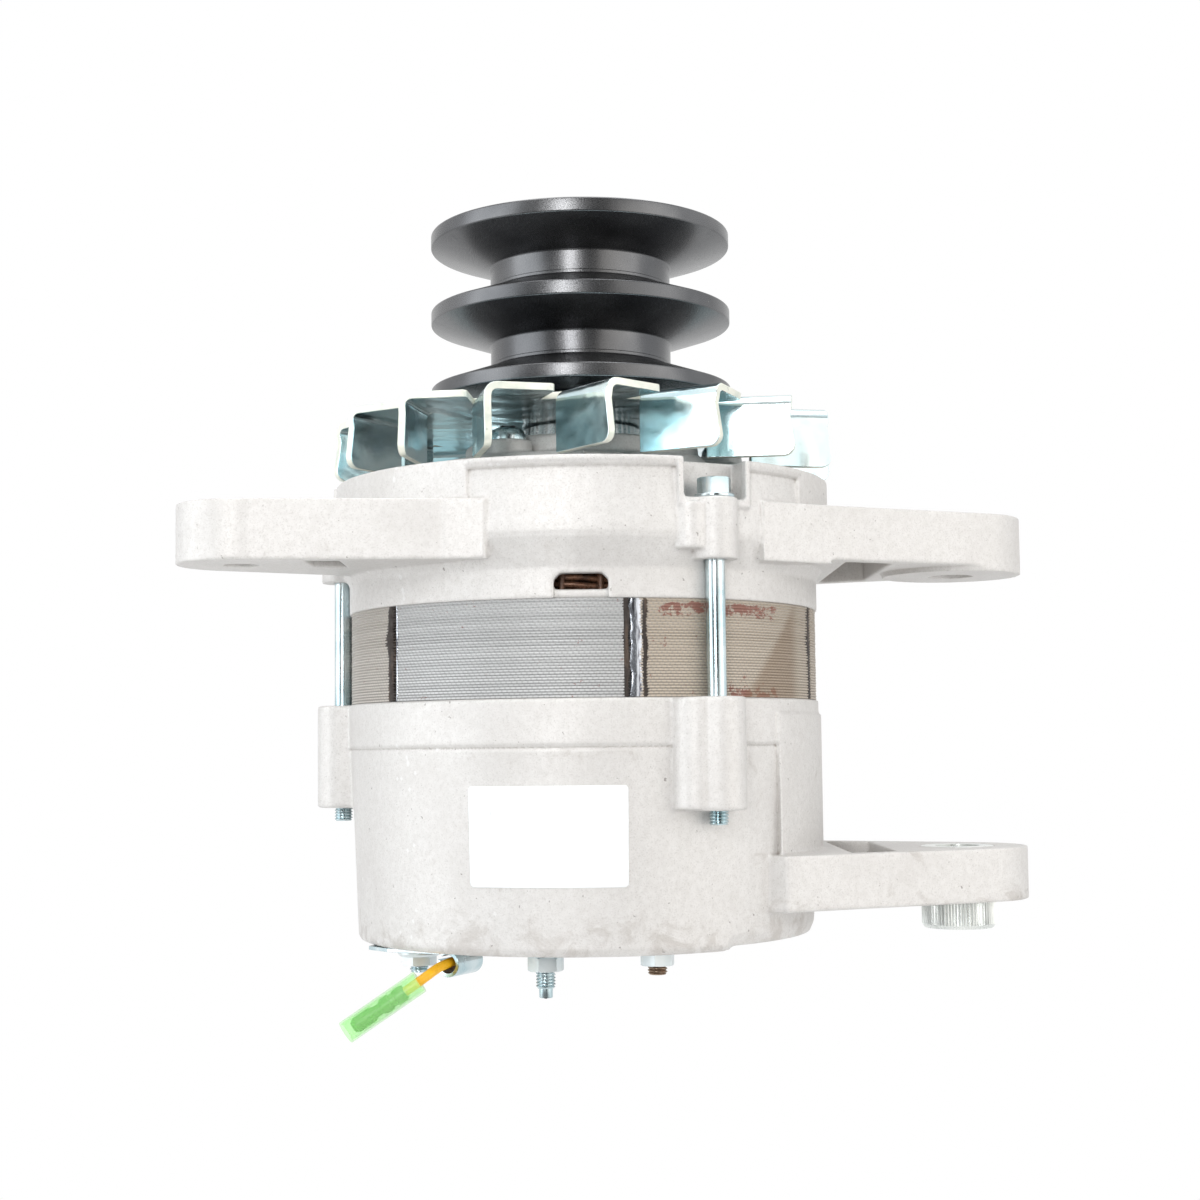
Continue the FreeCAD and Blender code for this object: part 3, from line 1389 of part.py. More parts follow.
def make_regulator():
    body = body_at("voltage_regulator", REGULATOR_X, S.regulator_y)
    pad(body, [rectangle(0.0, S.regulator_width, 0.0, S.regulator_depth)], FLOOR_TOP,
        FLOOR_TOP + S.regulator_height)
    pocket(body, [circle(S.small_screw_r, S.regulator_width / 2, S.regulator_depth / 2)],
           FLOOR_TOP - OVERCUT, FLOOR_TOP + S.small_screw_hole)
    screws = body_at("regulator_and_brush_screws")
    for x, y in SMALL_SCREWS:
        pad(screws, [circle(S.small_screw_r, x, y)], REAR_FACE, FLOOR_TOP + S.small_screw_length)
        pad(screws, [circle(S.small_screw_head_r, x, y)], REAR_FACE - S.small_screw_head, REAR_FACE)
    return [body, screws]


def rounded_route(points):
    """Straight runs joined by tangent arcs, each as large as its two runs allow."""
    edges = []
    here = points[0]
    radii = []
    for before, corner, after in zip(points, points[1:], points[2:]):
        into = (corner - before).normalize()
        out = (after - corner).normalize()
        half_turn = into.getAngle(out) / 2
        setback = 0.45 * min((corner - before).Length, (after - corner).Length)
        radii.append(setback / math.tan(half_turn))
        start = corner - into * setback
        end = corner + out * setback
        middle_way = (out - into).normalize()
        sag = radii[-1] * (1 / math.cos(half_turn) - 1)
        edges.append(Part.LineSegment(here, start).toShape())
        edges.append(Part.Arc(start, corner + middle_way * sag, end).toShape())
        here = end
    edges.append(Part.LineSegment(here, points[-1]).toShape())
    return Part.Wire(edges), radii


def make_lead():
    """The lead's own solid, and the boot, sleeve and terminal on it."""
    mouth = LEAD_ROUTE[-1]
    route, radii = rounded_route(LEAD_ROUTE + [mouth + SLEEVE_AIM * SIZES["bullet_inset"]])
    print("lead bend radii", [round(radius, 1) for radius in radii], "length", round(route.Length, 1))
    lead_r = SIZES["lead_r"]
    start = LEAD_ROUTE[0]
    section = Part.Wire(Part.Circle(start, LEAD_ROUTE[1] - start, lead_r).toShape())
    lead = doc.addObject("Part::Feature", "regulator_lead")
    lead.Label = "regulator_lead"
    lead.Shape = route.makePipeShell([section], True, True)
    exact = math.pi * lead_r ** 2 * route.Length
    print("lead volume", round(lead.Shape.Volume, 1), "section times length", round(exact, 1))
    lead.Placement = Placement(Vector(-SIZES["pivot_offset"], 0, 0), Rotation())

    boot = body_at("lead_boot", start.x, start.y)
    bore = S.lead_r + S.boot_fit
    boot_low = start.z - S.boot_length
    revolve(boot, [(bore, start.z), (S.boot_foot_r, start.z), (S.boot_tip_r, boot_low), (bore, boot_low)])

    sleeve = body_at("terminal_sleeve")
    bore = S.sleeve_r - S.sleeve_wall
    revolve(sleeve, [(bore, 0.0), (S.sleeve_r, 0.0), (S.sleeve_r, S.sleeve_length), (bore, S.sleeve_length)])
    bullet = body_at("bullet_terminal")
    inset = S.bullet_inset
    waist = inset + S.bullet_crimp + S.bullet_shoulder
    end = inset + S.bullet_length
    revolve(bullet, [
        (0.0, inset),
        (bore, inset),
        (bore, inset + S.bullet_crimp),
        (S.bullet_waist_r, waist),
        (S.bullet_waist_r, waist + S.bullet_waist),
        (S.bullet_r, waist + S.bullet_waist + S.bullet_shoulder),
        (S.bullet_r, end - S.bullet_shoulder),
        (S.bullet_tip_r, end),
        (0.0, end),
    ])
    turned = Rotation(Vector(0, 0, 1), SLEEVE_AIM)
    for piece in (sleeve, bullet):
        piece.setExpression("Placement.Base.x", None)
        piece.setExpression("Placement.Base.y", None)
        piece.Placement = Placement(mouth - Vector(SIZES["pivot_offset"], 0, 0), turned)
    return [lead, boot, sleeve, bullet]


parts = [
    make_front_bracket(),
    make_rear_bracket(),
    make_stator_core(),
    make_stator_winding(),
    make_claw_pole("front_claw_pole", 1, size(0.0)),
    make_claw_pole("rear_claw_pole", -1, size(180.0) / S.claw_count),
    *make_coil_and_bobbin(),
    make_shaft(),
    make_key(),
    make_pulley(),
    *make_pulley_fixings(),
    make_fan(),
    make_collar(),
    *make_slip_rings(),
    *make_bearing("front", S.shaft_r, S.front_bearing_r, FRONT_BEARING_LOW, FRONT_BEARING_TOP),
    *make_bearing("rear", S.shaft_tail_r, S.rear_bearing_r, REAR_BEARING_LOW, REAR_BEARING_TOP),
    *make_retainer(),
    *make_through_bolts(),
    make_bush(),
    make_label(),
    *make_terminals(),
    make_clip(),
    *make_rectifier(),
    *make_brush_gear(),
    *make_regulator(),
    *make_lead(),
]
doc.recompute()

# Every object is sound before anything is written.
for item in doc.Objects:
    if {"Invalid", "Error"} & set(item.State):
        raise RuntimeError(f"{item.Name} did not build: {item.State}")
for part in parts:
    if part.Shape.isNull() or not part.Shape.isValid() or not part.Shape.Solids:
        raise RuntimeError(f"{part.Label} has no valid solid")

os.makedirs("parts", exist_ok=True)
for part in parts:
    part.Shape.exportStep(os.path.join("parts", f"{part.Label}.step"))
print(len(parts), "sub-parts written")
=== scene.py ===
"""The alternator's visible pieces, built in mesh code around the frame's solids.

Shapes are in millimetres from the shaft's axis, with heights from the front lug's seat.
Azimuths are in degrees from -Y, the label's side, and grow towards +X, the lugs' side.
"""

import json
import math
import random

import bmesh
import bpy
from mathutils import Matrix, Vector


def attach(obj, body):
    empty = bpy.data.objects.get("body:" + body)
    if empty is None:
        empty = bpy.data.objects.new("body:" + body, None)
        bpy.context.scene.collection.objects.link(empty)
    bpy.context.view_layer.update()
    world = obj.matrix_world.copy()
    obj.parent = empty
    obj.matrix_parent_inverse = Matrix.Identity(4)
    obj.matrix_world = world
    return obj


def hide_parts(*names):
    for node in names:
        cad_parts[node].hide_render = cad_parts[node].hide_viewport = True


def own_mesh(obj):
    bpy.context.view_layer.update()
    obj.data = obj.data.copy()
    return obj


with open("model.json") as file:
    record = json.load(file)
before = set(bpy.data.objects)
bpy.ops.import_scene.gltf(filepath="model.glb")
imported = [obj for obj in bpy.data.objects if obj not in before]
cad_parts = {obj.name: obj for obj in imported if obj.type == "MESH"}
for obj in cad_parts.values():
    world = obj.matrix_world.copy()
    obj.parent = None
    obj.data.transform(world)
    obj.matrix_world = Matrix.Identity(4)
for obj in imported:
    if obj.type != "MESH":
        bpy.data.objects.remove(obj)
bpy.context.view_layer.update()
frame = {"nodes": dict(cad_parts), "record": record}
random.seed(7)

MM = 0.001
SHAFT_X = -104.0

# Sizes that several pieces share.
STACK_TOP = -9.8
STACK_LOW = -34.6
STACK_R = 65.0
SHEET_PITCH = 0.72
SHROUD_R = 69.5
SHROUD_INNER_R = 67.5
SHROUD_TOP = 25.75
REAR_FLOOR = -89.9
REAR_FACE = -98.9
BOLT_CIRCLE_R = 67.8
BOLT_TURNS = (30.0, 150.0, 270.0)
FAN_TOP = 45.1
SHAFT_BORE_R = 8.6
SLOT_COUNT = 36
THREAD_R = 2.5
THREAD_PITCH = 0.8
HEX_ACROSS = 8.0
NUT_BORE_R = 2.4
CHARGE_STUD = (-10.0, -50.0)
EARTH_STUD = (18.4, -46.0)
CLIP_STUD = (-43.92, -30.0)


# Mesh helpers.

def at(radius, azimuth):
    """The x, y of a point at a radius and azimuth."""
    turn = math.radians(azimuth)
    return radius * math.sin(turn), -radius * math.cos(turn)


def spoke(profile, azimuth, centre=(0.0, 0.0)):
    """The points of a profile, as pairs of radius and height, that stands at an azimuth."""
    x, y = at(1.0, azimuth)
    return [(centre[0] + x * r, centre[1] + y * r, z) for r, z in profile]


class Shape:
    """Points and faces of one piece, with a material number for each face."""

    def __init__(self):
        self.points = []
        self.faces = []
        self.kinds = []

    def add(self, points, faces, kind=0):
        start = len(self.points)
        self.points += [tuple(point) for point in points]
        self.faces += [[start + index for index in face] for face in faces]
        self.kinds += [kind] * len(faces)

    def grid(self, rows, wrap_rows=False, wrap_columns=False, cap_rows=False, kind=0):
        """Joins rows of points with four-sided faces."""
        width = len(rows[0])
        points = [point for row in rows for point in row]
        faces = []
        for i in range(len(rows) if wrap_rows else len(rows) - 1):
            here, there = i * width, (i + 1) % len(rows) * width
            for j in range(width if wrap_columns else width - 1):
                k = (j + 1) % width
                faces.append((here + j, here + k, there + k, there + j))
        if cap_rows:
            faces.append(tuple(reversed(range(width))))
            faces.append(tuple((len(rows) - 1) * width + j for j in range(width)))
        self.add(points, faces, kind)

    def lathe(self, profile, steps=96, centre=(0.0, 0.0), closed=True, kind=0):
        """Turns a profile about a vertical axis."""
        rows = [spoke(profile, 360.0 * i / steps, centre) for i in range(steps)]
        self.grid(rows, wrap_rows=True, wrap_columns=closed, kind=kind)

    def prism(self, outline, low, high, kind=0):
        rows = [[(x, y, z) for x, y in outline] for z in (low, high)]
        self.grid(rows, wrap_columns=True, cap_rows=True, kind=kind)

    def tube(self, path, radius, sides=8, closed=False):
        """A round bar along a path of points."""
        path = [Vector(point) for point in path]
        rows = []
        side = None
        for i, point in enumerate(path):
            if closed:
                ahead = path[(i + 1) % len(path)] - path[i - 1]
            else:
                ahead = path[min(i + 1, len(path) - 1)] - path[max(i - 1, 0)]
            ahead.normalize()
            if side is None:
                side = ahead.orthogonal()
            side = (side - ahead * side.dot(ahead)).normalized()
            other = ahead.cross(side)
            rows.append([point + (side * math.cos(a) + other * math.sin(a)) * radius
                         for a in (2 * math.pi * j / sides for j in range(sides))])
        self.grid(rows, wrap_rows=closed, wrap_columns=True, cap_rows=not closed)

    def hexagon(self, across, low, high, centre=(0.0, 0.0), bore=0.0, chamfer_low=False, turn=0.0):
        """A hexagon head or nut whose corners are cut back by a 30 degree cone."""
        apothem = across / 2
        cone_r = apothem * 1.03
        slope = math.tan(math.radians(30.0))
        steps = 72
        rows = []
        for i in range(steps):
            angle = 360.0 * i / steps
            reach = apothem / math.cos(math.radians((angle + 30.0) % 60.0 - 30.0))
            drop = max(0.0, reach - cone_r) * slope
            flat = min(reach, cone_r)
            profile = [(bore, high), (flat, high), (reach, high - drop)]
            profile += [(reach, low + drop), (flat, low)] if chamfer_low else [(reach, low)]
            profile.append((bore, low))
            rows.append(spoke(profile, angle + turn, centre))
        self.grid(rows, wrap_rows=True, wrap_columns=True)

    def thread(self, radius, pitch, low, high, centre=(0.0, 0.0), chamfer_low=True):
        """A screw thread about a vertical axis, chamfered at its lower or upper end."""
        depth = pitch * 0.55
        flank = 1.25
        sides = 32
        count = max(4, round((high - low) / pitch * 8))
        rows = []
        for i in range(count + 1):
            z = low + (high - low) * i / count
            inset = z - low if chamfer_low else high - z
            row = []
            for j in range(sides):
                share = (z / pitch + j / sides) % 1.0
                r = radius - depth * (1.0 - abs(2.0 * share - 1.0) * flank if share else 0.0)
                r = min(r, radius, radius - depth + inset)
                x, y = at(r, 360.0 * j / sides)
                row.append((centre[0] + x, centre[1] + y, z))
            rows.append(row)
        self.grid(rows, wrap_columns=True, cap_rows=True)

    def moved(self, matrix):
        self.points = [tuple(matrix @ Vector(point)) for point in self.points]
        return self


def rounded(corners, radii, steps=5):
    """Replaces the corners of an outline by arcs; a radius of 0 keeps the corner."""
    if isinstance(radii, (int, float)):
        radii = [radii] * len(corners)
    nearly_straight = 1.5
    corners = [Vector(corner) for corner in corners]
    outline = []
    for i, corner in enumerate(corners):
        radius = radii[i]
        before = corners[i - 1] - corner
        after = corners[(i + 1) % len(corners)] - corner
        half = before.angle(after) / 2
        if radius <= 0.0 or half > nearly_straight:
            outline.append(tuple(corner))
            continue
        setback = min(radius / math.tan(half), before.length * 0.49, after.length * 0.49)
        radius = setback * math.tan(half)
        start = corner + before.normalized() * setback
        end = corner + after.normalized() * setback
        inwards = (before.normalized() + after.normalized()).normalized()
        middle = corner + inwards * radius / math.sin(half)
        first = start - middle
        sweep = first.angle_signed(end - middle)
        for j in range(steps + 1):
            turned = first.copy()
            turned.rotate(Matrix.Rotation(-sweep * j / steps, 2))
            outline.append(tuple(middle + turned))
    return outline


def disc(centre, radius, steps=24):
    turns = [2 * math.pi * i / steps for i in range(steps)]
    return [(centre[0] + radius * math.cos(a), centre[1] + radius * math.sin(a)) for a in turns]


def arc_bar(shape, section, start, end):
    """A bar of one section, as pairs of radius and height, bent round the shaft."""
    steps = max(2, int(abs(end - start) / 2.0))
    rows = [spoke(section, start + (end - start) * i / steps) for i in range(steps + 1)]
    shape.grid(rows, wrap_columns=True, cap_rows=True)


def clean(mesh):
    merge = 1e-7
    work = bmesh.new()
    work.from_mesh(mesh)
    bmesh.ops.remove_doubles(work, verts=work.verts, dist=merge)
    bmesh.ops.dissolve_degenerate(work, edges=work.edges, dist=merge)
    bmesh.ops.recalc_face_normals(work, faces=work.faces)
    work.to_mesh(mesh)
    work.free()


def mesh_of(name, shape):
    """A mesh in the frame's metres from a shape in millimetres from the shaft."""
    mesh = bpy.data.meshes.new(name)
    points = [((x + SHAFT_X) * MM, y * MM, z * MM) for x, y, z in shape.points]
    mesh.from_pydata(points, [], shape.faces)
    mesh.polygons.foreach_set("material_index", shape.kinds)
    return mesh


def settle(obj, body, replaced=()):
    """Puts a finished object on its body and the nodes it stands for."""
    if obj.name not in bpy.context.scene.collection.objects:
        bpy.context.scene.collection.objects.link(obj)
    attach(obj, body)
    if replaced:
        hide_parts(*replaced)
    return obj


def bevel(obj, width):
    modifier = obj.modifiers.new("edges", "BEVEL")
    modifier.width = width * MM
    modifier.segments = 2
    modifier.limit_method = "ANGLE"
    modifier.angle_limit = math.radians(35.0)
    modifier.harden_normals = True


def piece(name, shape, looks, body, replaced=(), edge=0.0, sharp=35.0, sheet=0.0,
          cut_edge=0):
    """Makes one object from a shape; sheet gives a surface its thickness, cut_edge its rim's look."""
    mesh = mesh_of(name, shape)
    for look in looks if isinstance(looks, (list, tuple)) else [looks]:
        mesh.materials.append(look)
    clean(mesh)
    mesh.shade_smooth()
    mesh.set_sharp_from_angle(angle=math.radians(sharp))
    obj = bpy.data.objects.new(name, mesh)
    if sheet:
        solid = obj.modifiers.new("sheet", "SOLIDIFY")
        solid.thickness = sheet * MM
        solid.offset = -1.0
        solid.use_even_offset = True
        solid.material_offset_rim = cut_edge
    if edge:
        bevel(obj, edge)
    return settle(obj, body, replaced)


# Materials.

class Nodes:
    """A tree of shader nodes; most methods add a node and give its output."""

    def __init__(self, tree):
        self.tree = tree
        tree.nodes.clear()

    def join(self, value, socket):
        """Links a socket to another node's output, or sets it to a constant."""
        if isinstance(value, bpy.types.NodeSocket):
            self.tree.links.new(value, socket)
        else:
            socket.default_value = value

    def node(self, kind, settings, inputs):
        made = self.tree.nodes.new(kind)
        for key, value in settings.items():
            setattr(made, key, value)
        for key, value in inputs.items():
            self.join(value, made.inputs[key])
        return made

    def math(self, operation, a, b=0.0):
        return self.node("ShaderNodeMath", {"operation": operation}, {0: a, 1: b}).outputs[0]

    def plus(self, a, b):
        return self.math("ADD", a, b)

    def minus(self, a, b):
        return self.math("SUBTRACT", a, b)

    def times(self, a, b):
        return self.math("MULTIPLY", a, b)

    def span(self, value, low, high, to_low=0.0, to_high=1.0):
        """Maps a range of a value to another, and holds it there outside."""
        inputs = {"Value": value, "From Min": low, "From Max": high, "To Min": to_low, "To Max": to_high}
        return self.node("ShaderNodeMapRange", {"interpolation_type": "SMOOTHSTEP"}, inputs).outputs[0]

    def band(self, value, low, full_low, full_high, high):
        """1 between the two middle limits, falling to 0 at the outer ones."""
        return self.times(self.span(value, low, full_low), self.span(value, high, full_high))


class Look(Nodes):
    """A procedural material."""

    def __init__(self, name, **constants):
        self.material = bpy.data.materials.new(name)
        self.material.use_nodes = True
        super().__init__(self.material.node_tree)
        self.shader = self.node("ShaderNodeBsdfPrincipled", {}, constants)
        self.output = self.node("ShaderNodeOutputMaterial", {}, {0: self.shader.outputs[0]})
        self.place = self.node("ShaderNodeTexCoord", {}, {}).outputs["Object"]

    def stretched(self, scale, turn=(0.0, 0.0, 0.0)):
        inputs = {"Vector": self.place, "Scale": scale, "Rotation": turn}
        return self.node("ShaderNodeMapping", {}, inputs).outputs[0]

    def noise(self, per_metre, detail=3.0, roughness=0.6, place=None, distortion=0.0):
        return self.node("ShaderNodeTexNoise", {}, {
            "Vector": place or self.place, "Scale": per_metre, "Detail": detail,
            "Roughness": roughness, "Distortion": distortion}).outputs["Fac"]

    def blend(self, share, a, b):
        made = self.node("ShaderNodeMix", {"data_type": "RGBA", "clamp_result": True}, {0: share})
        for socket, colour in ((made.inputs[6], a), (made.inputs[7], b)):
            self.join(colour if isinstance(colour, bpy.types.NodeSocket) else (*colour, 1.0), socket)
        return made.outputs[2]

    def over(self, colour, other, value, low, high, most=1.0):
        """Blends another colour over a colour as a value goes from low to high."""
        return self.blend(self.span(value, low, high, 0.0, most), colour, other)

    def parts(self):
        """The x, y and z of a point from the shaft's axis, in metres."""
        split = self.node("ShaderNodeSeparateXYZ", {}, {0: self.place})
        return self.minus(split.outputs[0], SHAFT_X * MM), split.outputs[1], split.outputs[2]

    def azimuth(self, x, y):
        """The azimuth about the shaft, in radians."""
        return self.math("ARCTAN2", x, self.times(y, -1.0))

    def ringed(self):
        """Coordinates that draw a noise out into rings about the shaft."""
        along_ring = 0.02
        x, y, z = self.parts()
        radius = self.math("SQRT", self.plus(self.times(x, x), self.times(y, y)))
        inputs = {0: self.times(self.azimuth(x, y), along_ring), 1: radius, 2: z}
        return self.node("ShaderNodeCombineXYZ", {}, inputs).outputs[0]

    def bump(self, height, depth, strength=1.0, under=None):
        """A relief of some depth in millimetres, on top of another relief."""
        inputs = {"Height": height, "Distance": depth * MM, "Strength": strength}
        if under is not None:
            inputs["Normal"] = under
        return self.node("ShaderNodeBump", {}, inputs).outputs[0]

    def done(self, colour, roughness, metallic=None, normal=None):
        values = {"Base Color": colour, "Roughness": roughness, "Metallic": metallic, "Normal": normal}
        for key, value in values.items():
            if value is not None:
                self.join(value, self.shader.inputs[key])
        return self.material


def cast_look():
    """Sand-cast aluminium: a fine matt grain, faint clouds, and a few stains, specks and scuffs, with a
    painted highlight on sharp edges and painted shade in creases.
    """
    look = Look("cast aluminium")
    grain = look.noise(2300.0)
    mottle = look.noise(620.0)
    cloud = look.noise(42.0, roughness=0.5)
    stain = look.noise(95.0, 6.0, 0.72, distortion=0.6)
    specks = look.noise(760.0, 2.0, 0.5)
    scuffs = look.noise(210.0, 4.0, 0.7, place=look.stretched((1.0, 1.0, 5.0), (0.3, 0.5, 0.2)))
    pointiness_for_painted_light = look.node("ShaderNodeNewGeometry", {}, {}).outputs["Pointiness"]
    x, y, z = look.parts()
    # Besides the stains: darker towards the rear face, and in a patch just below the seam on the label's
    # side.
    foot = look.span(z, -0.0800, -0.0980, 0.0, 0.16)
    marks = look.times(look.band(z, -0.0525, -0.0505, -0.0485, -0.0465), 0.12)
    marks = look.times(marks, look.span(y, -0.052, -0.060))
    marks = look.times(marks, look.span(x, 0.022, 0.006))
    stains_and_darker_patches = look.plus(stain, look.plus(foot, marks))
    colour = look.over((0.640, 0.624, 0.606), (0.690, 0.676, 0.660), mottle, 0.3, 0.7)
    colour = look.over(colour, (0.47, 0.45, 0.43), grain, 0.52, 0.68, 0.40)
    colour = look.over(colour, (0.575, 0.555, 0.535), cloud, 0.45, 0.70, 0.35)
    colour = look.over(colour, (0.40, 0.365, 0.335), stains_and_darker_patches, 0.60, 0.78, 0.50)
    colour = look.over(colour, (0.24, 0.215, 0.20), specks, 0.715, 0.775, 0.75)
    colour = look.over(colour, (0.80, 0.80, 0.80), scuffs, 0.70, 0.80, 0.35)
    # Painted light from pointiness: a painted highlight on sharp edges, which also stands for their wear,
    # and painted shade, with some grime, in creases.
    colour = look.over(colour, (0.82, 0.82, 0.82), pointiness_for_painted_light, 0.535, 0.62, 0.45)
    colour = look.over(colour, (0.30, 0.265, 0.235), pointiness_for_painted_light, 0.488, 0.42, 0.80)
    roughness = look.span(grain, 0.3, 0.7, 0.46, 0.62)
    metallic = look.span(stain, 0.45, 0.75, 0.38, 0.15)
    relief = look.bump(grain, 0.05, 0.9, look.bump(mottle, 0.10, 0.6))
    return look.done(colour, roughness, metallic, relief)


def zinc_look(name, tint, shade, rough, metallic):
    """Zinc plate with drawn marks and a few dark pores."""
    look = Look(name)
    haze = look.noise(70.0, distortion=0.6)
    fine = look.noise(900.0)
    drawn = look.noise(260.0, 4.0, place=look.stretched((1.0, 1.0, 0.12)))
    colour = look.over(tint, shade, haze, 0.35, 0.68)
    colour = look.over(colour, (0.80, 0.78, 0.72), drawn, 0.62, 0.74, 0.5)
    colour = look.over(colour, (0.20, 0.22, 0.22), fine, 0.70, 0.78, 0.6)
    roughness = look.span(drawn, 0.3, 0.7, *rough)
    plated = look.span(fine, 0.66, 0.80, *metallic)
    return look.done(colour, roughness, plated, look.bump(drawn, 0.02, 0.5, look.bump(fine, 0.02, 0.4)))


def blade_look():
    """Zinc-plated sheet, bluer in places, with faint rolling marks and shallow waves."""
    look = Look("fan sheet")
    haze = look.noise(38.0, 2.0, 0.5, distortion=0.8)
    fine = look.noise(1100.0, 2.0)
    roll = look.noise(300.0, 4.0, place=look.stretched((0.15, 1.0, 1.0), (0.0, 0.0, 0.6)))
    colour = look.over((0.60, 0.77, 0.81), (0.76, 0.86, 0.86), haze, 0.35, 0.68)
    colour = look.over(colour, (0.50, 0.68, 0.73), roll, 0.60, 0.78, 0.5)
    colour = look.over(colour, (0.16, 0.20, 0.22), fine, 0.70, 0.80, 0.5)
    roughness = look.span(roll, 0.3, 0.7, 0.13, 0.26)
    metallic = look.span(fine, 0.66, 0.80, 1.0, 0.7)
    relief = look.bump(fine, 0.015, 0.4, look.bump(haze, 2.2, 0.5))
    return look.done(colour, roughness, metallic, look.bump(roll, 0.04, 0.5, relief))


def black_look():
    """Black oxide on turned steel: fine rings round the shaft, a few bright nicks."""
    look = Look("black oxide")
    rings = look.noise(5200.0, roughness=0.7, place=look.ringed())
    haze = look.noise(45.0, roughness=0.55)
    nicks = look.noise(260.0, 4.0, 0.75)
    dust = look.noise(1300.0, 2.0)
    colour = look.over((0.110, 0.112, 0.117), (0.155, 0.156, 0.160), haze, 0.35, 0.7)
    colour = look.over(colour, (0.50, 0.48, 0.46), nicks, 0.735, 0.76, 0.8)
    colour = look.over(colour, (0.30, 0.29, 0.28), dust, 0.70, 0.76, 0.35)
    roughness = look.span(rings, 0.3, 0.7, 0.22, 0.35)
    metallic = look.span(haze, 0.3, 0.7, 1.0, 0.92)
    relief = look.bump(rings, 0.02, 0.6, look.bump(dust, 0.01, 0.5))
    return look.done(colour, roughness, metallic, relief)


def stack_look():
    """Punched edges of steel sheets, warmer past the weld, rusty and stained in places."""
    look = Look("laminations")
    x, y, z = look.parts()
    azimuth = look.azimuth(x, y)
    height = look.math("DIVIDE", look.minus(z, STACK_LOW * MM), SHEET_PITCH * MM)
    sheet_no = look.math("FLOOR", height)
    shade = look.node("ShaderNodeTexWhiteNoise", {"noise_dimensions": "1D"}, {"W": sheet_no})
    ticks = look.math("SINE", look.plus(look.times(azimuth, 290.0), look.times(sheet_no, 2.4)))
    seam = look.math("ABSOLUTE", look.minus(look.math("FRACT", height), 0.5))
    blotch = look.noise(85.0, 4.0, 0.65)
    fine = look.noise(1500.0)
    spots = look.noise(330.0, 4.0, 0.75)
    warm_side = look.span(azimuth, math.radians(11.0), math.radians(14.0))
    warm_end = look.span(azimuth, math.radians(-49.0), math.radians(-51.0), 0.0, 0.55)
    warm = look.math("MAXIMUM", warm_side, warm_end)
    colour = look.blend(shade.outputs["Value"], (0.47, 0.475, 0.475), (0.56, 0.565, 0.565))
    colour = look.blend(look.times(warm, 0.72), colour, (0.50, 0.41, 0.305))
    colour = look.over(colour, (0.27, 0.265, 0.26), ticks, 0.15, 0.90, 0.36)
    colour = look.over(colour, (0.13, 0.125, 0.12), seam, 0.36, 0.47, 0.62)
    top = look.band(z, -0.0165, -0.0125, -0.0112, -0.0103)
    top = look.times(top, look.band(azimuth, 0.28, 0.33, 0.86, 0.94))
    foot = look.times(look.span(z, -0.029, -0.034), look.band(azimuth, 0.48, 0.56, 0.86, 0.96))
    drops = look.times(look.band(azimuth, -0.15, 0.0, 0.32, 0.40), 0.16)
    rusty = look.math("MAXIMUM", look.math("MAXIMUM", top, foot), drops)
    rust = look.span(look.plus(spots, look.times(rusty, 0.22)), 0.66, 0.72)
    colour = look.blend(look.times(rust, 0.85), colour, (0.215, 0.072, 0.050))
    slanted = look.minus(azimuth, look.times(z, 14.0))
    stain = look.times(look.span(slanted, 1.15, 1.21), look.span(azimuth, 1.10, 1.00))
    colour = look.blend(look.times(stain, 0.50), colour, (0.22, 0.14, 0.08))
    colour = look.over(colour, (0.16, 0.14, 0.12), blotch, 0.68, 0.76, 0.5)
    roughness = look.span(fine, 0.3, 0.7, 0.45, 0.62)
    metallic = look.span(rust, 0.2, 0.8, 0.34, 0.05)
    return look.done(colour, roughness, metallic, look.bump(fine, 0.04, 0.6))


def weld_look(name, colour, edge, rough, metallic):
    """A run of weld metal, streaked along its length, with bright spatter."""
    look = Look(name)
    spatter = [min(1.0, 2.2 * part) for part in colour]
    fine = look.noise(900.0, 4.0, 0.65)
    streaks = look.noise(620.0, place=look.stretched((1.0, 1.0, 0.16)))
    base = look.over(colour, edge, streaks, 0.52, 0.64)
    base = look.over(base, spatter, fine, 0.66, 0.74, 0.5)
    relief = look.bump(streaks, 0.10, 0.6, look.bump(fine, 0.04, 0.6))
    return look.done(base, look.span(fine, 0.3, 0.7, *rough), look.span(fine, 0.2, 0.6, *metallic), relief)


def metal_look(name, light, dark, rough, turned=False, rust=None, metallic=(0.95, 0.8)):
    """Plain metal: drawn or turned marks, small stains and an uneven gloss."""
    look = Look(name)
    if turned:
        marks = look.noise(4200.0, roughness=0.65, place=look.ringed())
    else:
        marks = look.noise(600.0, 4.0, place=look.stretched((1.0, 1.0, 0.2)))
    haze = look.noise(90.0, 4.0)
    fine = look.noise(1300.0)
    colour = look.over(light, dark, haze, 0.35, 0.68)
    colour = look.over(colour, [part * 0.35 for part in dark], fine, 0.66, 0.76, 0.6)
    if rust:
        colour = look.over(colour, rust, look.noise(330.0, 4.0, 0.7), 0.50, 0.62, 0.85)
    relief = look.bump(marks, 0.03, 0.5, look.bump(fine, 0.03, 0.5))
    plated = look.span(fine, 0.4, 0.75, *metallic)
    return look.done(colour, look.span(marks, 0.3, 0.7, *rough), plated, relief)


def plain_look(name, light, dark, rough, per_metre, depth=0.05):
    """A non-metal: two close shades, a fine grain and an uneven gloss."""
    look = Look(name)
    haze = look.noise(110.0, 4.0)
    grain = look.noise(per_metre, 4.0)
    specks = look.noise(per_metre * 1.7, 2.0)
    colour = look.over(light, dark, haze, 0.35, 0.68)
    colour = look.over(colour, [part * 0.5 for part in dark], specks, 0.68, 0.78, 0.5)
    return look.done(colour, look.span(grain, 0.3, 0.7, *rough), None, look.bump(grain, depth, 0.6))


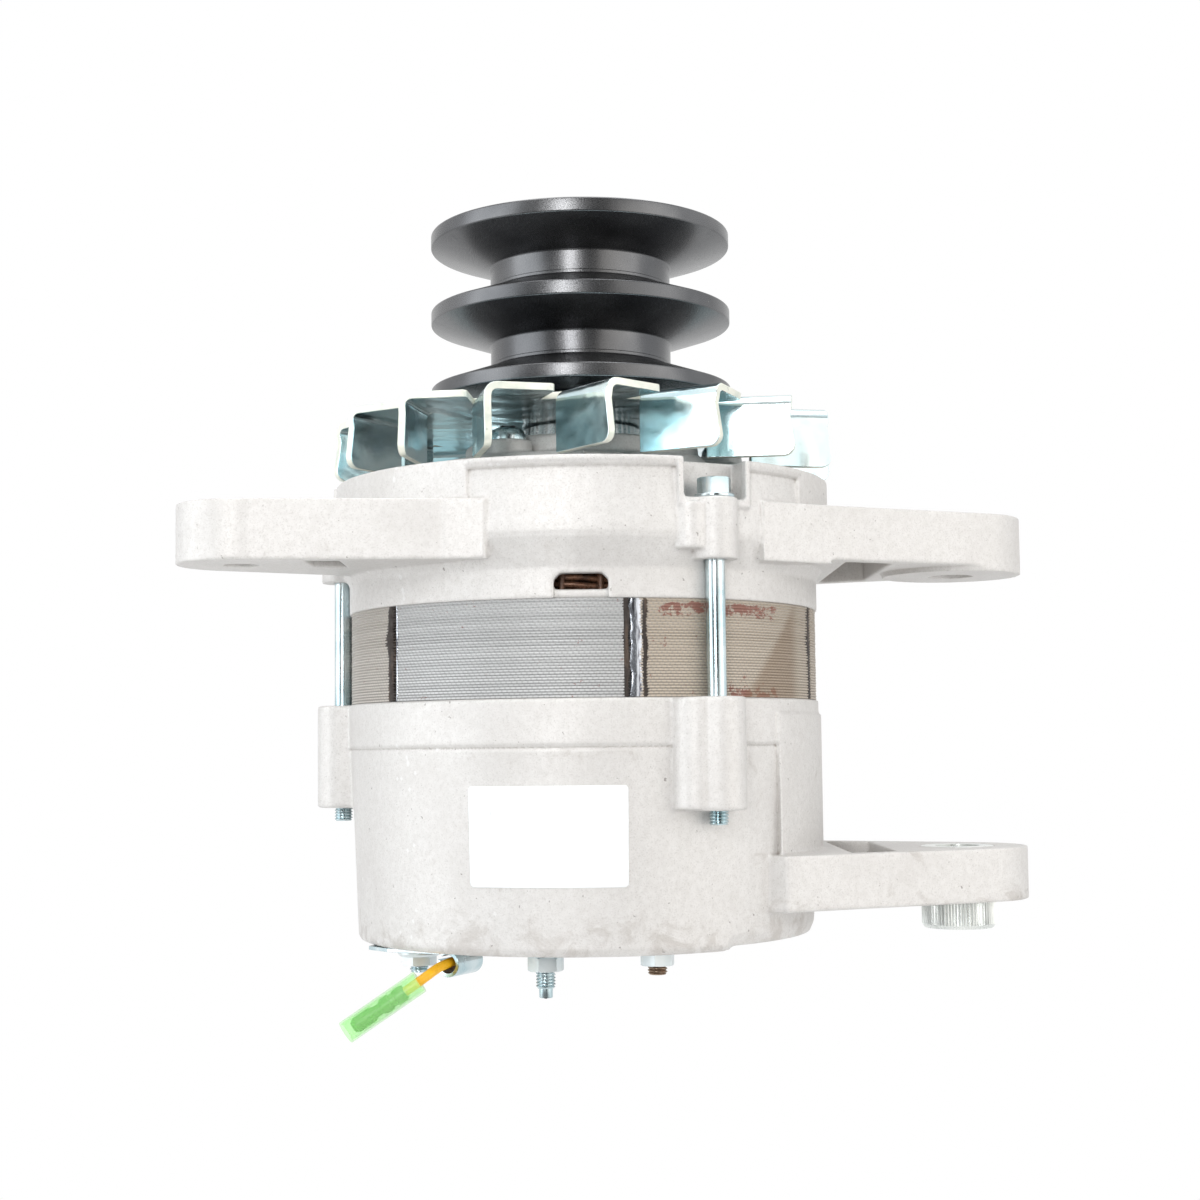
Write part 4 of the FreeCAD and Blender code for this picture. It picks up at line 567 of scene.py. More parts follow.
def wire_look():
    """Varnished copper wire, darker where the varnish is thick."""
    look = Look("varnished wire")
    haze = look.noise(240.0, 4.0)
    fine = look.noise(1400.0)
    colour = look.over((0.30, 0.15, 0.09), (0.12, 0.065, 0.045), haze, 0.36, 0.64)
    colour = look.over(colour, (0.50, 0.32, 0.20), fine, 0.62, 0.74, 0.5)
    roughness = look.span(fine, 0.3, 0.7, 0.22, 0.42)
    return look.done(colour, roughness, look.span(haze, 0.3, 0.7, 0.5, 0.2), look.bump(fine, 0.05, 0.5))


def sleeve_look():
    """Thin green vinyl that shows what is inside, with faint clouds along it."""
    look = Look("green vinyl", IOR=1.45, Alpha=0.30)
    haze = look.noise(170.0)
    fine = look.noise(900.0, 2.0, 0.5)
    colour = look.over((0.36, 0.93, 0.25), (0.46, 0.97, 0.34), haze, 0.35, 0.65)
    return look.done(colour, look.span(fine, 0.3, 0.7, 0.16, 0.28), None, look.bump(haze, 0.01, 0.3))


def cut_look():
    """The cut edge of the plated fan sheet: matt and creamy."""
    look = Look("cut edge")
    fine = look.noise(900.0)
    wide = look.noise(150.0)
    colour = look.over((0.86, 0.86, 0.76), (0.70, 0.74, 0.66), wide, 0.35, 0.65)
    colour = look.over(colour, (0.36, 0.38, 0.34), fine, 0.64, 0.76, 0.6)
    roughness = look.span(fine, 0.3, 0.7, 0.38, 0.55)
    return look.done(colour, roughness, look.span(wide, 0.3, 0.7, 0.25, 0.45), look.bump(fine, 0.05, 0.5))


CAST = cast_look()
ZINC = zinc_look("zinc plate", (0.66, 0.74, 0.76), (0.42, 0.56, 0.60), (0.16, 0.34), (1.0, 0.6))
NUT_PLATE = zinc_look("nut plate", (0.72, 0.77, 0.78), (0.58, 0.65, 0.67), (0.30, 0.46), (0.62, 0.45))
BLADE = blade_look()
CUT_EDGE = cut_look()
BLACK = black_look()
STACK = stack_look()
WELD_BRIGHT = weld_look("weld bead", (0.52, 0.55, 0.60), (0.10, 0.10, 0.12), (0.10, 0.26), (0.6, 0.95))
WELD_DARK = weld_look("burnt weld", (0.030, 0.022, 0.018), (0.075, 0.050, 0.035), (0.50, 0.75), (0.0, 0.2))
MACHINED = metal_look("ground steel", (0.56, 0.56, 0.56), (0.40, 0.40, 0.40), (0.18, 0.36), turned=True)
FORGED = metal_look("forged steel", (0.30, 0.29, 0.28), (0.20, 0.19, 0.18), (0.35, 0.6))
BEARING = metal_look("bearing steel", (0.66, 0.67, 0.68), (0.52, 0.53, 0.54), (0.10, 0.22), turned=True)
COPPER = metal_look("copper", (0.72, 0.36, 0.20), (0.52, 0.24, 0.13), (0.18, 0.34), turned=True)
BROWNED = metal_look("tarnished steel", (0.34, 0.25, 0.18), (0.17, 0.12, 0.09), (0.3, 0.5),
                     rust=(0.20, 0.10, 0.05))
# Coloured near black green rather than bright tin: painted shade for the inside of the green sleeve, in
# the sleeve's green.
TERMINAL = metal_look("tinned brass in painted sleeve shade", (0.03, 0.10, 0.04), (0.02, 0.06, 0.025), (0.35, 0.55),
                      metallic=(0.4, 0.2))
RIB_STEEL = metal_look("bush steel", (0.84, 0.86, 0.83), (0.72, 0.75, 0.73), (0.26, 0.42),
                       metallic=(0.75, 0.6))
WIRE = wire_look()
CARBON = plain_look("carbon", (0.045, 0.045, 0.048), (0.025, 0.025, 0.026), (0.4, 0.65), 1200.0)
# Also the painted shade of the screws' cross recesses and of the charging stud's slot.
DARK = plain_look("dark plastic and painted recess shade", (0.035, 0.035, 0.038), (0.022, 0.022, 0.024), (0.35, 0.55), 900.0)
BROWN = plain_look("pressed insulation", (0.36, 0.19, 0.08), (0.24, 0.12, 0.05), (0.4, 0.6), 900.0)
PALE = plain_look("moulded insulation", (0.72, 0.70, 0.62), (0.58, 0.55, 0.48), (0.35, 0.55), 800.0)
FILM = plain_look("label film", (0.90, 0.915, 0.925), (0.86, 0.875, 0.89), (0.26, 0.40), 160.0)
YELLOW = plain_look("yellow insulation", (0.95, 0.52, 0.012), (0.80, 0.40, 0.010), (0.25, 0.42), 500.0,
                    0.04)
RUBBER = plain_look("black rubber", (0.030, 0.030, 0.030), (0.018, 0.018, 0.018), (0.55, 0.8), 1000.0)
GREEN = sleeve_look()

NODE_LOOKS = {
    "cast_aluminium": CAST, "black_steel": BLACK, "zinc_steel": ZINC, "lamination_steel": STACK,
    "machined_steel": MACHINED, "forged_steel": FORGED, "bearing_steel": BEARING, "copper": COPPER,
    "enamelled_wire": WIRE, "carbon": CARBON, "dark_plastic": DARK, "brown_insulation": BROWN,
    "pale_insulation": PALE, "label_film": FILM, "wire_insulation": YELLOW, "green_sleeve": GREEN,
    "tinned_brass": TERMINAL, "black_rubber": RUBBER,
}
for subpart in frame["record"]["subparts"]:
    node = frame["nodes"][subpart["node"]]
    node.data.materials.clear()
    node.data.materials.append(NODE_LOOKS[subpart["material_slot"]])


# Castings.

def scribe(mesh, height, radius, depth):
    """Sinks the seam that the two halves of a mould leave around the shaft."""
    width, reach_width = 0.75, 0.45
    for vertex in mesh.vertices:
        x, y, z = vertex.co.x / MM - SHAFT_X, vertex.co.y / MM, vertex.co.z / MM
        reach = math.hypot(x, y)
        away = abs(z - height) / width
        if away < 1.0 and abs(reach - radius) < reach_width:
            share = 1.0 - depth * (1.0 - away) / reach
            vertex.co.x = (x * share + SHAFT_X) * MM
            vertex.co.y = y * share * MM


def casting(name, node, extra, voxel, rounds, seam):
    """A casting from its solid and what only shows on it, with the soft edges of sand casting."""
    added = mesh_of(f"{name}_added", extra)
    clean(added)
    mesh = frame["nodes"][node].data.copy()
    mesh.materials.clear()
    mesh.materials.append(CAST)
    work = bmesh.new()
    work.from_mesh(mesh)
    bmesh.ops.remove_doubles(work, verts=work.verts, dist=1e-6)
    work.from_mesh(added)
    work.to_mesh(mesh)
    work.free()
    bpy.data.meshes.remove(added)
    obj = bpy.data.objects.new(name, mesh)
    bpy.context.scene.collection.objects.link(obj)
    remesh = obj.modifiers.new("skin", "REMESH")
    remesh.mode = "VOXEL"
    remesh.voxel_size = voxel * MM
    remesh.use_smooth_shade = True
    smooth = obj.modifiers.new("soften", "SMOOTH")
    smooth.factor = 0.5
    smooth.iterations = rounds
    bpy.context.view_layer.update()
    shown = obj.evaluated_get(bpy.context.evaluated_depsgraph_get())
    finished = bpy.data.meshes.new_from_object(shown)
    obj.modifiers.clear()
    obj.data = finished
    finished.name = name
    bpy.data.meshes.remove(mesh)
    scribe(finished, *seam)
    return settle(obj, "housing", [node])


def front_extra():
    """Roots of the lug, ear and bolt bosses, the lip of the shroud and the rims of its notches."""
    shape = Shape()
    root_low = 0.3
    lug_root = [at(SHROUD_R, 42.6), (66.0, -39.0), at(60.0, 50.0), at(62.0, 42.6)]
    shape.prism(lug_root, root_low, 15.9)
    ear_root = [(-34.0, -64.45), at(SHROUD_R, -20.0), at(SHROUD_INNER_R, -20.0),
                at(SHROUD_INNER_R, -23.2), (-34.0, -62.4)]
    shape.prism(ear_root, root_low, 15.6)
    lip = [(SHROUD_INNER_R, 24.0), (69.35, 24.3), (SHROUD_R, 25.7), (SHROUD_INNER_R, SHROUD_TOP)]
    arc_bar(shape, lip, -24.5, 21.4)
    arc_bar(shape, lip, 38.6, 57.0)
    rim_r = 69.9
    upright = [(SHROUD_INNER_R, 13.6), (rim_r, 13.6), (rim_r, 25.7), (SHROUD_INNER_R, SHROUD_TOP)]
    sill = [(SHROUD_INNER_R, 13.4), (rim_r, 13.4), (rim_r, 15.3), (SHROUD_INNER_R, 15.3)]
    for turn in BOLT_TURNS:
        shape.prism(disc(at(66.4, turn - 5.4), 5.2), 2.4, 14.2)
        arc_bar(shape, upright, turn - 9.3, turn - 7.9)
        arc_bar(shape, upright, turn + 7.3, turn + 8.7)
        arc_bar(shape, sill, turn - 9.3, turn + 8.7)
    return shape


def rear_extra():
    """Roots of the lug and of the bolt bosses, and the sharper foot of the wall away from the lug."""
    shape = Shape()
    lug_root = [(52.0, -45.3), (54.0, -44.7), (62.0, -40.9), at(58.0, 50.0), at(62.0, 47.5)]
    shape.prism(lug_root, REAR_FLOOR, -75.4)
    for turn in BOLT_TURNS:
        shape.prism(disc(at(66.2, turn - 4.6), 6.1), -62.6, STACK_LOW - 0.1)
    foot = [(57.0, -98.88), (61.5, -98.88), (62.7, -98.3), (63.15, -97.2), (63.18, -94.0), (57.0, -94.0)]
    arc_bar(shape, foot, 144.0, 395.5)
    return shape


CAST_VOXEL = 0.46
casting("front_casting", "front_bracket", front_extra(), CAST_VOXEL, 3, (6.1, 69.0, 0.15))
casting("rear_casting", "rear_bracket", rear_extra(), CAST_VOXEL, 5, (-46.9, 65.3, 0.45))


# Stator.

SLOT_PITCH = 360.0 / SLOT_COUNT
WELD_TURNS = [10.6 + 60.0 * i for i in range(6)]


def stack_edge():
    """The (radius, height) edge of the stack, with a fine groove between its sheets."""
    edge = []
    uneven, groove, bevel_z, burr_z = 0.10, 0.22, 0.17, 0.06
    sheets = round((STACK_TOP - STACK_LOW) / SHEET_PITCH)
    for i in range(sheets):
        low = STACK_LOW + i * (STACK_TOP - STACK_LOW) / sheets
        high = STACK_LOW + (i + 1) * (STACK_TOP - STACK_LOW) / sheets
        r = STACK_R - random.random() * uneven
        edge += [(r - groove, low + burr_z), (r, low + bevel_z)]
        edge += [(r, high - bevel_z), (r - groove, high - burr_z)]
    edge[0] = (edge[0][0], STACK_LOW)
    edge[-1] = (edge[-1][0], STACK_TOP)
    return edge


def make_stator():
    """The stack: sheets with slots inside and weld grooves outside, and the welds in those."""
    inner_r, slot_r, slot_half = 47.0, 55.5, 2.195
    groove_depth, groove_half = 1.1, 1.25
    edge = stack_edge()
    angles = [i * 0.75 for i in range(480)]
    for turn in WELD_TURNS:
        angles += [(turn + step * 0.14) % 360.0 for step in range(-10, 11)]
    for slot in range(SLOT_COUNT):
        middle = SLOT_PITCH * slot + SLOT_PITCH / 2
        angles += [middle - 2.2, middle - 2.19, middle + 2.19, middle + 2.2]
    angles = sorted(set(round(angle % 360.0, 3) for angle in angles))
    rows = []
    for angle in angles:
        away = min(abs((angle - turn + 180.0) % 360.0 - 180.0) for turn in WELD_TURNS)
        notch = groove_depth * max(0.0, 1.0 - (away / groove_half) ** 2) ** 0.5
        past_slot = (angle - SLOT_PITCH / 2) % SLOT_PITCH
        in_slot = min(past_slot, SLOT_PITCH - past_slot) < slot_half
        bore = slot_r if in_slot else inner_r
        outside = [(r - notch, z) for r, z in edge]
        rows.append(spoke([(bore, STACK_LOW), *outside, (bore, STACK_TOP)], angle))
    shape = Shape()
    shape.grid(rows, wrap_rows=True, wrap_columns=True)
    first, *others = WELD_TURNS
    weld_bead(shape, first + 1.55, 1.85, 1, 0.10)
    weld_bead(shape, first - 0.7, 0.85, 2, 0.35)
    weld_bead(shape, first + 3.5, 0.80, 2, 0.85)
    for turn in others:
        weld_bead(shape, turn - 0.8, 1.75, 2, 0.75, 0.9)
    weld_bead(shape, others[-1] + 1.6, 0.40, 1, 0.30)
    piece("lamination_stack", shape, [STACK, WELD_BRIGHT, WELD_DARK], "housing",
          ["stator_core"], sharp=28.0)


def weld_bead(shape, turn, half_width, kind, ragged, bulge=0.0):
    """A weld run down the stack: a wandering line, a ragged edge and maybe a wider upper third."""
    rows = []
    steps, columns = 150, 8
    crown, foot_r, edge_r = 0.40, 64.66, 64.27
    bulge_z, bulge_height = 18.5, 3.2
    for i in range(steps + 1):
        z = STACK_LOW + 0.1 + (STACK_TOP - STACK_LOW - 0.2) * i / steps
        tooth = 1.0 if int((z - STACK_LOW) / SHEET_PITCH * 2.0) % 2 else -1.0
        wander = 0.22 * math.sin(z * 0.55 + turn) + 0.10 * math.sin(z * 1.7)
        swell = bulge * math.exp(-((z + bulge_z) / bulge_height) ** 2)
        wave = 0.12 * math.sin(z * 0.9)
        left = half_width * (1.0 + swell + wave + ragged * 0.5 * random.random()) - wander
        right = half_width * (1.0 + ragged * (0.5 * tooth + 0.6 * random.random())) + wander
        row = []
        for j in range(columns + 1):
            across = -1.0 + 2.0 * j / columns
            reach = left if across < 0 else right
            height = crown * math.cos(across * math.pi / 2) ** 0.7 if abs(across) < 1 else 0.0
            base = foot_r if abs(across) < 1 else edge_r
            x, y = at(base + height, turn + math.degrees(across * reach / STACK_R))
            row.append((x, y, z))
        rows.append(row)
    shape.grid(rows, kind=kind)


def make_winding():
    """Wire bundles on both ends of the stack, and the bars in the slots."""
    shape = Shape()
    layers, lanes, lane_pitch, layer_pitch = 5, 6, 1.45, 1.75
    first_r, first_z, sway_by = 49.6, 2.0, 0.35
    wire_r, bar_r, bar_place = 0.80, 1.0, 57.2
    for start, direction in ((STACK_TOP, 1.0), (STACK_LOW, -1.0)):
        for layer in range(layers):
            for lane in range(lanes):
                base_r = first_r + lane * lane_pitch
                base_z = start + direction * (first_z + layer * layer_pitch)
                wobble = random.random() * 6.28
                path = []
                for azimuth in range(0, 360, 2):
                    sway = math.sin(math.radians(azimuth * 12.0) + wobble)
                    lift = math.sin(math.radians(azimuth * 18.0) + wobble * 1.7)
                    x, y = at(base_r + sway_by * sway, azimuth)
                    path.append((x, y, base_z + sway_by * lift))
                shape.tube(path, wire_r, sides=7, closed=True)
        for slot in range(SLOT_COUNT):
            low, high = sorted((start - direction * 1.0, start + direction * 9.0))
            x, y = at(bar_place, SLOT_PITCH * slot + SLOT_PITCH / 2)
            path = [(x, y, low + (high - low) * share) for share in (0.0, 0.4, 0.8, 1.0)]
            shape.tube(path, bar_r)
    piece("wire_bundles", shape, WIRE, "housing", ["stator_winding"], sharp=60.0)


make_stator()
make_winding()


# Pulley, fan and shaft.

def make_pulley():
    """The pulley: three rims with two V grooves between them."""
    rims = ((50.5, 54.3), (72.7, 76.5), (94.9, 98.7))
    rim_r, foot_r, seat_r, recess_r, recess_low = 42.5, 25.9, 24.0, 19.0, 82.7
    mouth, bottom = 18.4, 6.8
    flank = (mouth - bottom) / 2
    corners = [(SHAFT_BORE_R, FAN_TOP), (seat_r, FAN_TOP), (seat_r, rims[0][0])]
    radii = [0.0, 0.3, 0.8]
    for number, (low, high) in enumerate(rims):
        corners += [(rim_r, low), (rim_r, high)]
        radii += [0.5, 0.5]
        if number < 2:
            foot, top = high + flank, high + flank + bottom
            corners += [(foot_r, foot), (foot_r, foot + 1.0), (foot_r - 0.3, foot + 1.15)]
            corners.append((foot_r - 0.3, top))
            radii += [0.5, 0.1, 0.1, 0.7]
    corners += [(recess_r, rims[-1][1]), (recess_r, recess_low), (SHAFT_BORE_R, recess_low)]
    radii += [0.6, 0.8, 0.0]
    shape = Shape()
    shape.lathe(rounded(corners, radii, 4), steps=256)
    piece("pulley", shape, BLACK, "rotor", ["belt_pulley"], sharp=32.0)


BLADE_COUNT = 16
BLADE_PITCH = 360.0 / BLADE_COUNT
FIRST_BLADE = 5.6

# Degrees from a blade's outer end back to its inner end.
RAKE = 12.4

# Petals that stand out of step: degrees of lag and millimetres of lost reach, by their number.
PETAL_SET = {
    1: (1.2, 0.0), 2: (0.7, 0.0), 8: (-0.7, 0.0), 9: (-1.3, 0.2), 10: (-1.9, 0.5), 11: (-2.5, 0.9),
    12: (-3.0, 1.5), 13: (-3.0, 1.6), 14: (-3.0, 1.4), 15: (-3.0, 0.9),
}


def make_fan():
    """One sheet with sixteen petals, each folded down into a blade."""
    shape = Shape()
    low, bend_r, corner_r, lean = 28.6, 3.5, 3.0, 0.8
    disc_r, root_r, reach_r, far_r = 50.0, 52.8, 71.0, 61.6
    rim_end, far_turn = 8.4, 14.4
    steps, bend_steps, corner_steps = 7, 6, 4
    for k in range(BLADE_COUNT):
        lag, short = PETAL_SET.get(k, (0.0, 0.0))
        turn = FIRST_BLADE + BLADE_PITCH * k + lag
        inner = Vector(at(root_r, turn - RAKE))
        outer = Vector(at(reach_r - short, turn))
        along = (outer - inner).normalized()
        across = Vector((-along.y, along.x))
        length = (outer - inner).length
        spots = [length * i / steps for i in range(steps + 1)]

        def point(t, d, z):
            spot = inner + along * t + across * d
            return (spot.x, spot.y, z)

        fold = [point(t, bend_r, FAN_TOP) for t in spots]
        rim = [(*at(disc_r, turn - RAKE + (rim_end + RAKE) * i / 6), FAN_TOP) for i in range(7)]
        corner = Vector(at(far_r, turn + far_turn))
        to_tip = (Vector(fold[-1][:2]) - corner).normalized()
        to_rim = (Vector(rim[-1][:2]) - corner).normalized()
        cut = [corner + to_tip * 1.2, corner + (to_tip + to_rim) * 0.42, corner + to_rim * 1.2]
        petal = rim[::-1] + fold + [(*spot, FAN_TOP) for spot in cut]
        shape.add(petal, [tuple(reversed(range(len(petal))))])
        rows = [fold]
        for i in range(1, bend_steps + 1):
            bend = math.radians(90.0 * i / bend_steps)
            inwards = bend_r - bend_r * math.sin(bend)
            z = FAN_TOP - bend_r + bend_r * math.cos(bend)
            rows.append([point(t, inwards, z) for t in spots])
        straight = [point(t - lean * 0.5 * t / length, 0.0, FAN_TOP - bend_r - 2.0) for t in spots]
        rows.append(straight)
        shape.grid(rows)
        corner_at = length + lean - corner_r
        bottom = [point(0.0, 0.0, low), point(corner_at, 0.0, low)]
        for i in range(1, corner_steps + 1):
            bend = math.radians(90.0 * i / corner_steps)
            z = low + corner_r - corner_r * math.cos(bend)
            bottom.append(point(corner_at + corner_r * math.sin(bend), 0.0, z))
        blade = straight + bottom[::-1]
        shape.add(blade, [tuple(range(len(blade)))])
        next_lag = PETAL_SET.get((k + 1) % BLADE_COUNT, (0.0, 0.0))[0]
        gap_end = FIRST_BLADE + BLADE_PITCH * (k + 1) + next_lag - RAKE
        gap = [turn + rim_end + (gap_end - turn - rim_end) * i / 2 for i in (1, 2)]
        ring = rim + [(*at(disc_r, azimuth), FAN_TOP) for azimuth in gap]
        hole = []
        for x, y, z in ring:
            reach = math.hypot(x, y)
            hole.append((x * SHAFT_BORE_R / reach, y * SHAFT_BORE_R / reach, z))
        shape.grid([hole, ring])
    piece("fan", shape, [BLADE, CUT_EDGE], "rotor", ["cooling_fan"], edge=0.3, sheet=2.0,
          cut_edge=1)


def make_collar():
    """The fan's collar, with a ribbed band about it."""
    shape = Shape()
    core = [(8.55, 33.6), (12.0, 33.6), (12.0, 38.3), (15.6, 38.3), (15.6, 43.1), (8.55, 43.1)]
    shape.lathe(rounded(core, [0.0, 0.4, 0.8, 0.3, 0.3, 0.0]))
    ribs, rib_height = 54, 0.55
    rows = []
    for i in range(ribs * 4):
        r = 16.2 + (rib_height if i % 4 in (1, 2) else 0.0)
        section = [(15.0, 37.6), (r - 0.5, 37.6), (r, 38.1), (r, 42.6), (r - 0.5, 43.05), (15.0, 43.05)]
        rows.append(spoke(section, 360.0 * i / (ribs * 4)))
    shape.grid(rows, wrap_rows=True, wrap_columns=True)
    piece("ribbed_collar", shape, MACHINED, "rotor", ["fan_collar"], sharp=25.0)


def make_shaft_end():
    """The pulley's nut, its split washer and the shaft's thread."""
    nut = Shape()
    nut.hexagon(24.0, 85.7, 93.7, bore=7.9, chamfer_low=True, turn=12.0)
    piece("shaft_nut", nut, ZINC, "rotor", ["pulley_nut"], edge=0.15)
    washer = Shape()
    bore, outer_r, low, high, split = 8.3, 12.2, 82.75, 84.4, 1.2
    steps = 96
    rows = []
    for i in range(steps):
        top = high + split * (i / steps)
        rows.append(spoke([(bore, low), (outer_r, low), (outer_r, top), (bore, top)], 360.0 * i / steps))
    washer.grid(rows, wrap_columns=True, cap_rows=True)
    piece("spring_washer", washer, ZINC, "rotor", ["pulley_lock_washer"], edge=0.15)
    thread = Shape()
    thread.thread(8.0, 1.5, 83.0, 96.7, chamfer_low=False)
    piece("shaft_thread", thread, MACHINED, "rotor", sharp=20.0)


make_pulley()
make_fan()
make_collar()
make_shaft_end()


# Bolts and screws.

def make_bolts():
    """The through bolts and their washers, and the three screws of the bearing retainer."""
    bolts = Shape()
    washers = Shape()
    seat, head_top = 16.5, 20.7
    ring = rounded([(2.6, 15.6), (5.2, 15.6), (5.2, seat), (2.6, seat)], 0.25, 3)
    for number, azimuth in enumerate(BOLT_TURNS):
        centre = at(BOLT_CIRCLE_R, azimuth)
        bolts.hexagon(HEX_ACROSS, seat, head_top, centre=centre, turn=20.0 + 31.0 * number)
        bolts.lathe([(0.0, 20.72), (3.0, 20.72), (3.0, 20.6), (0.0, 20.6)], steps=24, centre=centre)
        shank = [(THREAD_R, -56.0), (THREAD_R, 16.6), (0.4, 16.6), (0.4, -56.0)]
        bolts.lathe(shank, steps=40, centre=centre)
        bolts.thread(THREAD_R, THREAD_PITCH, -66.7, -55.9, centre=centre)
        washers.lathe(ring, steps=48, centre=centre)
    piece("long_bolts", bolts, ZINC, "housing", ["through_bolts"], edge=0.18)
    piece("bolt_washers", washers, ZINC, "housing", ["through_bolt_washers"])
    screws = Shape()
    screw_circle_r = 39.0
    dome = [(0.0, 38.6), (0.9, 38.55), (2.6, 38.3), (4.2, 37.5), (4.9, 36.4), (5.0, 35.2), (5.0, 34.6),
            (0.0, 34.6)]
    # The cross recesses are thin dark crosses laid over the domes: painted shade where the hollows would
    # be.
    cross = [(-2.4, -0.45), (2.4, -0.45), (2.4, 0.45), (-2.4, 0.45)]
    for k in range(3):
        centre = at(screw_circle_r, 90.0 + 120.0 * k)
        screws.lathe(dome, steps=48, centre=centre, closed=False)
        screws.lathe([(0.5, 34.8), (2.5, 34.8), (2.5, 15.7), (0.5, 15.7)], steps=24, centre=centre)
        for turn in (0.0, 90.0):
            across = Matrix.Rotation(math.radians(turn + 25.0 * k), 2)
            corners = [across @ Vector(corner) for corner in cross]
            screws.prism([(centre[0] + c.x, centre[1] + c.y) for c in corners], 37.9, 38.62, kind=1)
    piece("pan_head_screws", screws, [ZINC, DARK], "housing", ["retainer_screws"])


def make_bush():
    """The slip bush, with a band of fine ribs."""
    lug_x = 104.0
    ribs, rib_height = 72, 0.28
    swells = (0.0, 0.45, 1.0, 1.0, 0.45)
    bore, outer_r = 6.1, 10.2
    rows = []
    for i in range(ribs * 5):
        crest = 9.95 + rib_height * swells[i % 5]
        profile = [(bore, -75.4), (9.9, -75.4), (outer_r, -75.7), (outer_r, -90.2), (crest - 0.1, -90.5),
                   (crest, -91.0), (crest, -96.9), (crest - 0.8, -98.0), (6.9, -98.0), (bore, -97.2)]
        rows.append(spoke(profile, 360.0 * i / (ribs * 5), (lug_x, 0.0)))
    shape = Shape()
    shape.grid(rows, wrap_rows=True, wrap_columns=True)
    piece("knurled_bush", shape, RIB_STEEL, "pivot_bush", ["slip_bush"], sharp=24.0)


def make_stud(name, node, centre, top, low, look, slotted):
    """A stud with a shoulder inside the end wall; the charging stud has a slotted end."""
    shape = Shape()
    x, y = centre
    tip = low + (2.4 if slotted else 0.0)
    shape.thread(THREAD_R, THREAD_PITCH, tip, REAR_FACE - 0.3, centre=centre)
    shape.lathe([(0.3, REAR_FACE - 0.5), (2.3, REAR_FACE - 0.5), (2.3, top), (4.1, top), (3.6, top + 1.4),
                 (2.0, top + 2.0), (0.3, top + 2.0)], steps=32, centre=centre)
    if slotted:
        end = [(0.3, low), (1.75, low), (1.75, tip + 0.3), (0.3, tip + 0.3)]
        shape.lathe(rounded(end, [0, 0.3, 0, 0], 3), steps=32, centre=centre)
        # The slot is a dark bar set into the stud's end: painted shade where its hollow would be.
        slot = [(x - 0.35, y - 1.72), (x + 0.35, y - 1.72), (x + 0.35, y + 1.72), (x - 0.35, y + 1.72)]
        shape.prism(slot, low - 0.02, low + 1.5, kind=1)
    piece(name, shape, [look, DARK], "housing", [node], sharp=22.0)


def make_nut(name, node, centre, low, high, turn, flange=None, steps=48):
    """A nut, with the outline of the flange under it, where it has one."""
    nut = Shape()
    nut.hexagon(HEX_ACROSS, low, high, centre=centre, bore=NUT_BORE_R, chamfer_low=True, turn=turn)
    if flange:
        nut.lathe(flange, steps=steps, centre=centre)
    piece(name, nut, NUT_PLATE, "housing", [node], edge=0.12)


def make_studs():
    make_stud("charge_post", "charge_stud", CHARGE_STUD, -78.0, -110.0, ZINC, True)
    make_stud("earth_post", "earth_stud", EARTH_STUD, -92.9, -104.9, BROWNED, False)
    make_stud("clip_post", "clip_stud", CLIP_STUD, -92.9, -105.4, ZINC, False)
    seat = -99.6
    make_nut("charge_nut", "charge_stud_nut", CHARGE_STUD, -103.3, seat, 8.0)
    washer = Shape()
    ring = [(2.6, seat), (5.2, seat), (5.2, REAR_FACE), (2.6, REAR_FACE)]
    washer.lathe(rounded(ring, 0.18, 3), steps=48, centre=CHARGE_STUD)
    insulator = [(NUT_BORE_R, -98.8), (4.15, -98.8), (4.15, REAR_FLOOR), (NUT_BORE_R, REAR_FLOOR)]
    washer.lathe(insulator, steps=40, centre=CHARGE_STUD, kind=1)
    piece("charge_washer", washer, [ZINC, BROWN], "housing", ["charge_stud_insulator"])
    flange = [(NUT_BORE_R, -99.5), (4.9, -99.5), (4.9, REAR_FACE), (NUT_BORE_R, REAR_FACE)]
    make_nut("earth_nut", "earth_stud_nut", EARTH_STUD, -102.6, REAR_FACE, 20.0,
             rounded(flange, 0.15, 3), steps=40)
    flange = [(NUT_BORE_R, -101.2), (5.0, -101.2), (5.6, -100.6), (5.6, -99.9), (NUT_BORE_R, -99.9)]
    make_nut("flange_nut", "clip_stud_nut", CLIP_STUD, -103.6, -100.6, 14.0, rounded(flange, 0.2, 3))


make_bolts()
make_bush()
make_studs()


# Springs, label, clip and lead.

def make_springs():
    """The brush springs, shortened: six turns, the end ones closed."""
    coil_r, wire_r, turns, closed, active = 1.9, 0.3, 6.0, 0.7, 4.6
    start_y, span_y, steps = 31.65, 11.0, 144
    for name, middle in (("upper", -59.2), ("lower", -70.2)):
        path = []
        for i in range(steps + 1):
            turn = turns * i / steps
            share = min(1.0, max(0.0, (turn - closed) / active))
            x, z = at(coil_r, 360.0 * turn)
            path.append((x, start_y + span_y * share, middle + z))
        shape = Shape()
        shape.tube(path, wire_r)
        spring = piece(f"{name}_spring", shape, MACHINED, "housing",
                       [f"{name}_brush_spring"])
        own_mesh(spring)


def wall_radius(z):
    """The rear bracket's outer radius on its taper."""
    top, low, top_r, low_r = -46.7, -94.9, 65.1, 63.2
    share = (top - z) / (top - low)
    return top_r - (top_r - low_r) * share


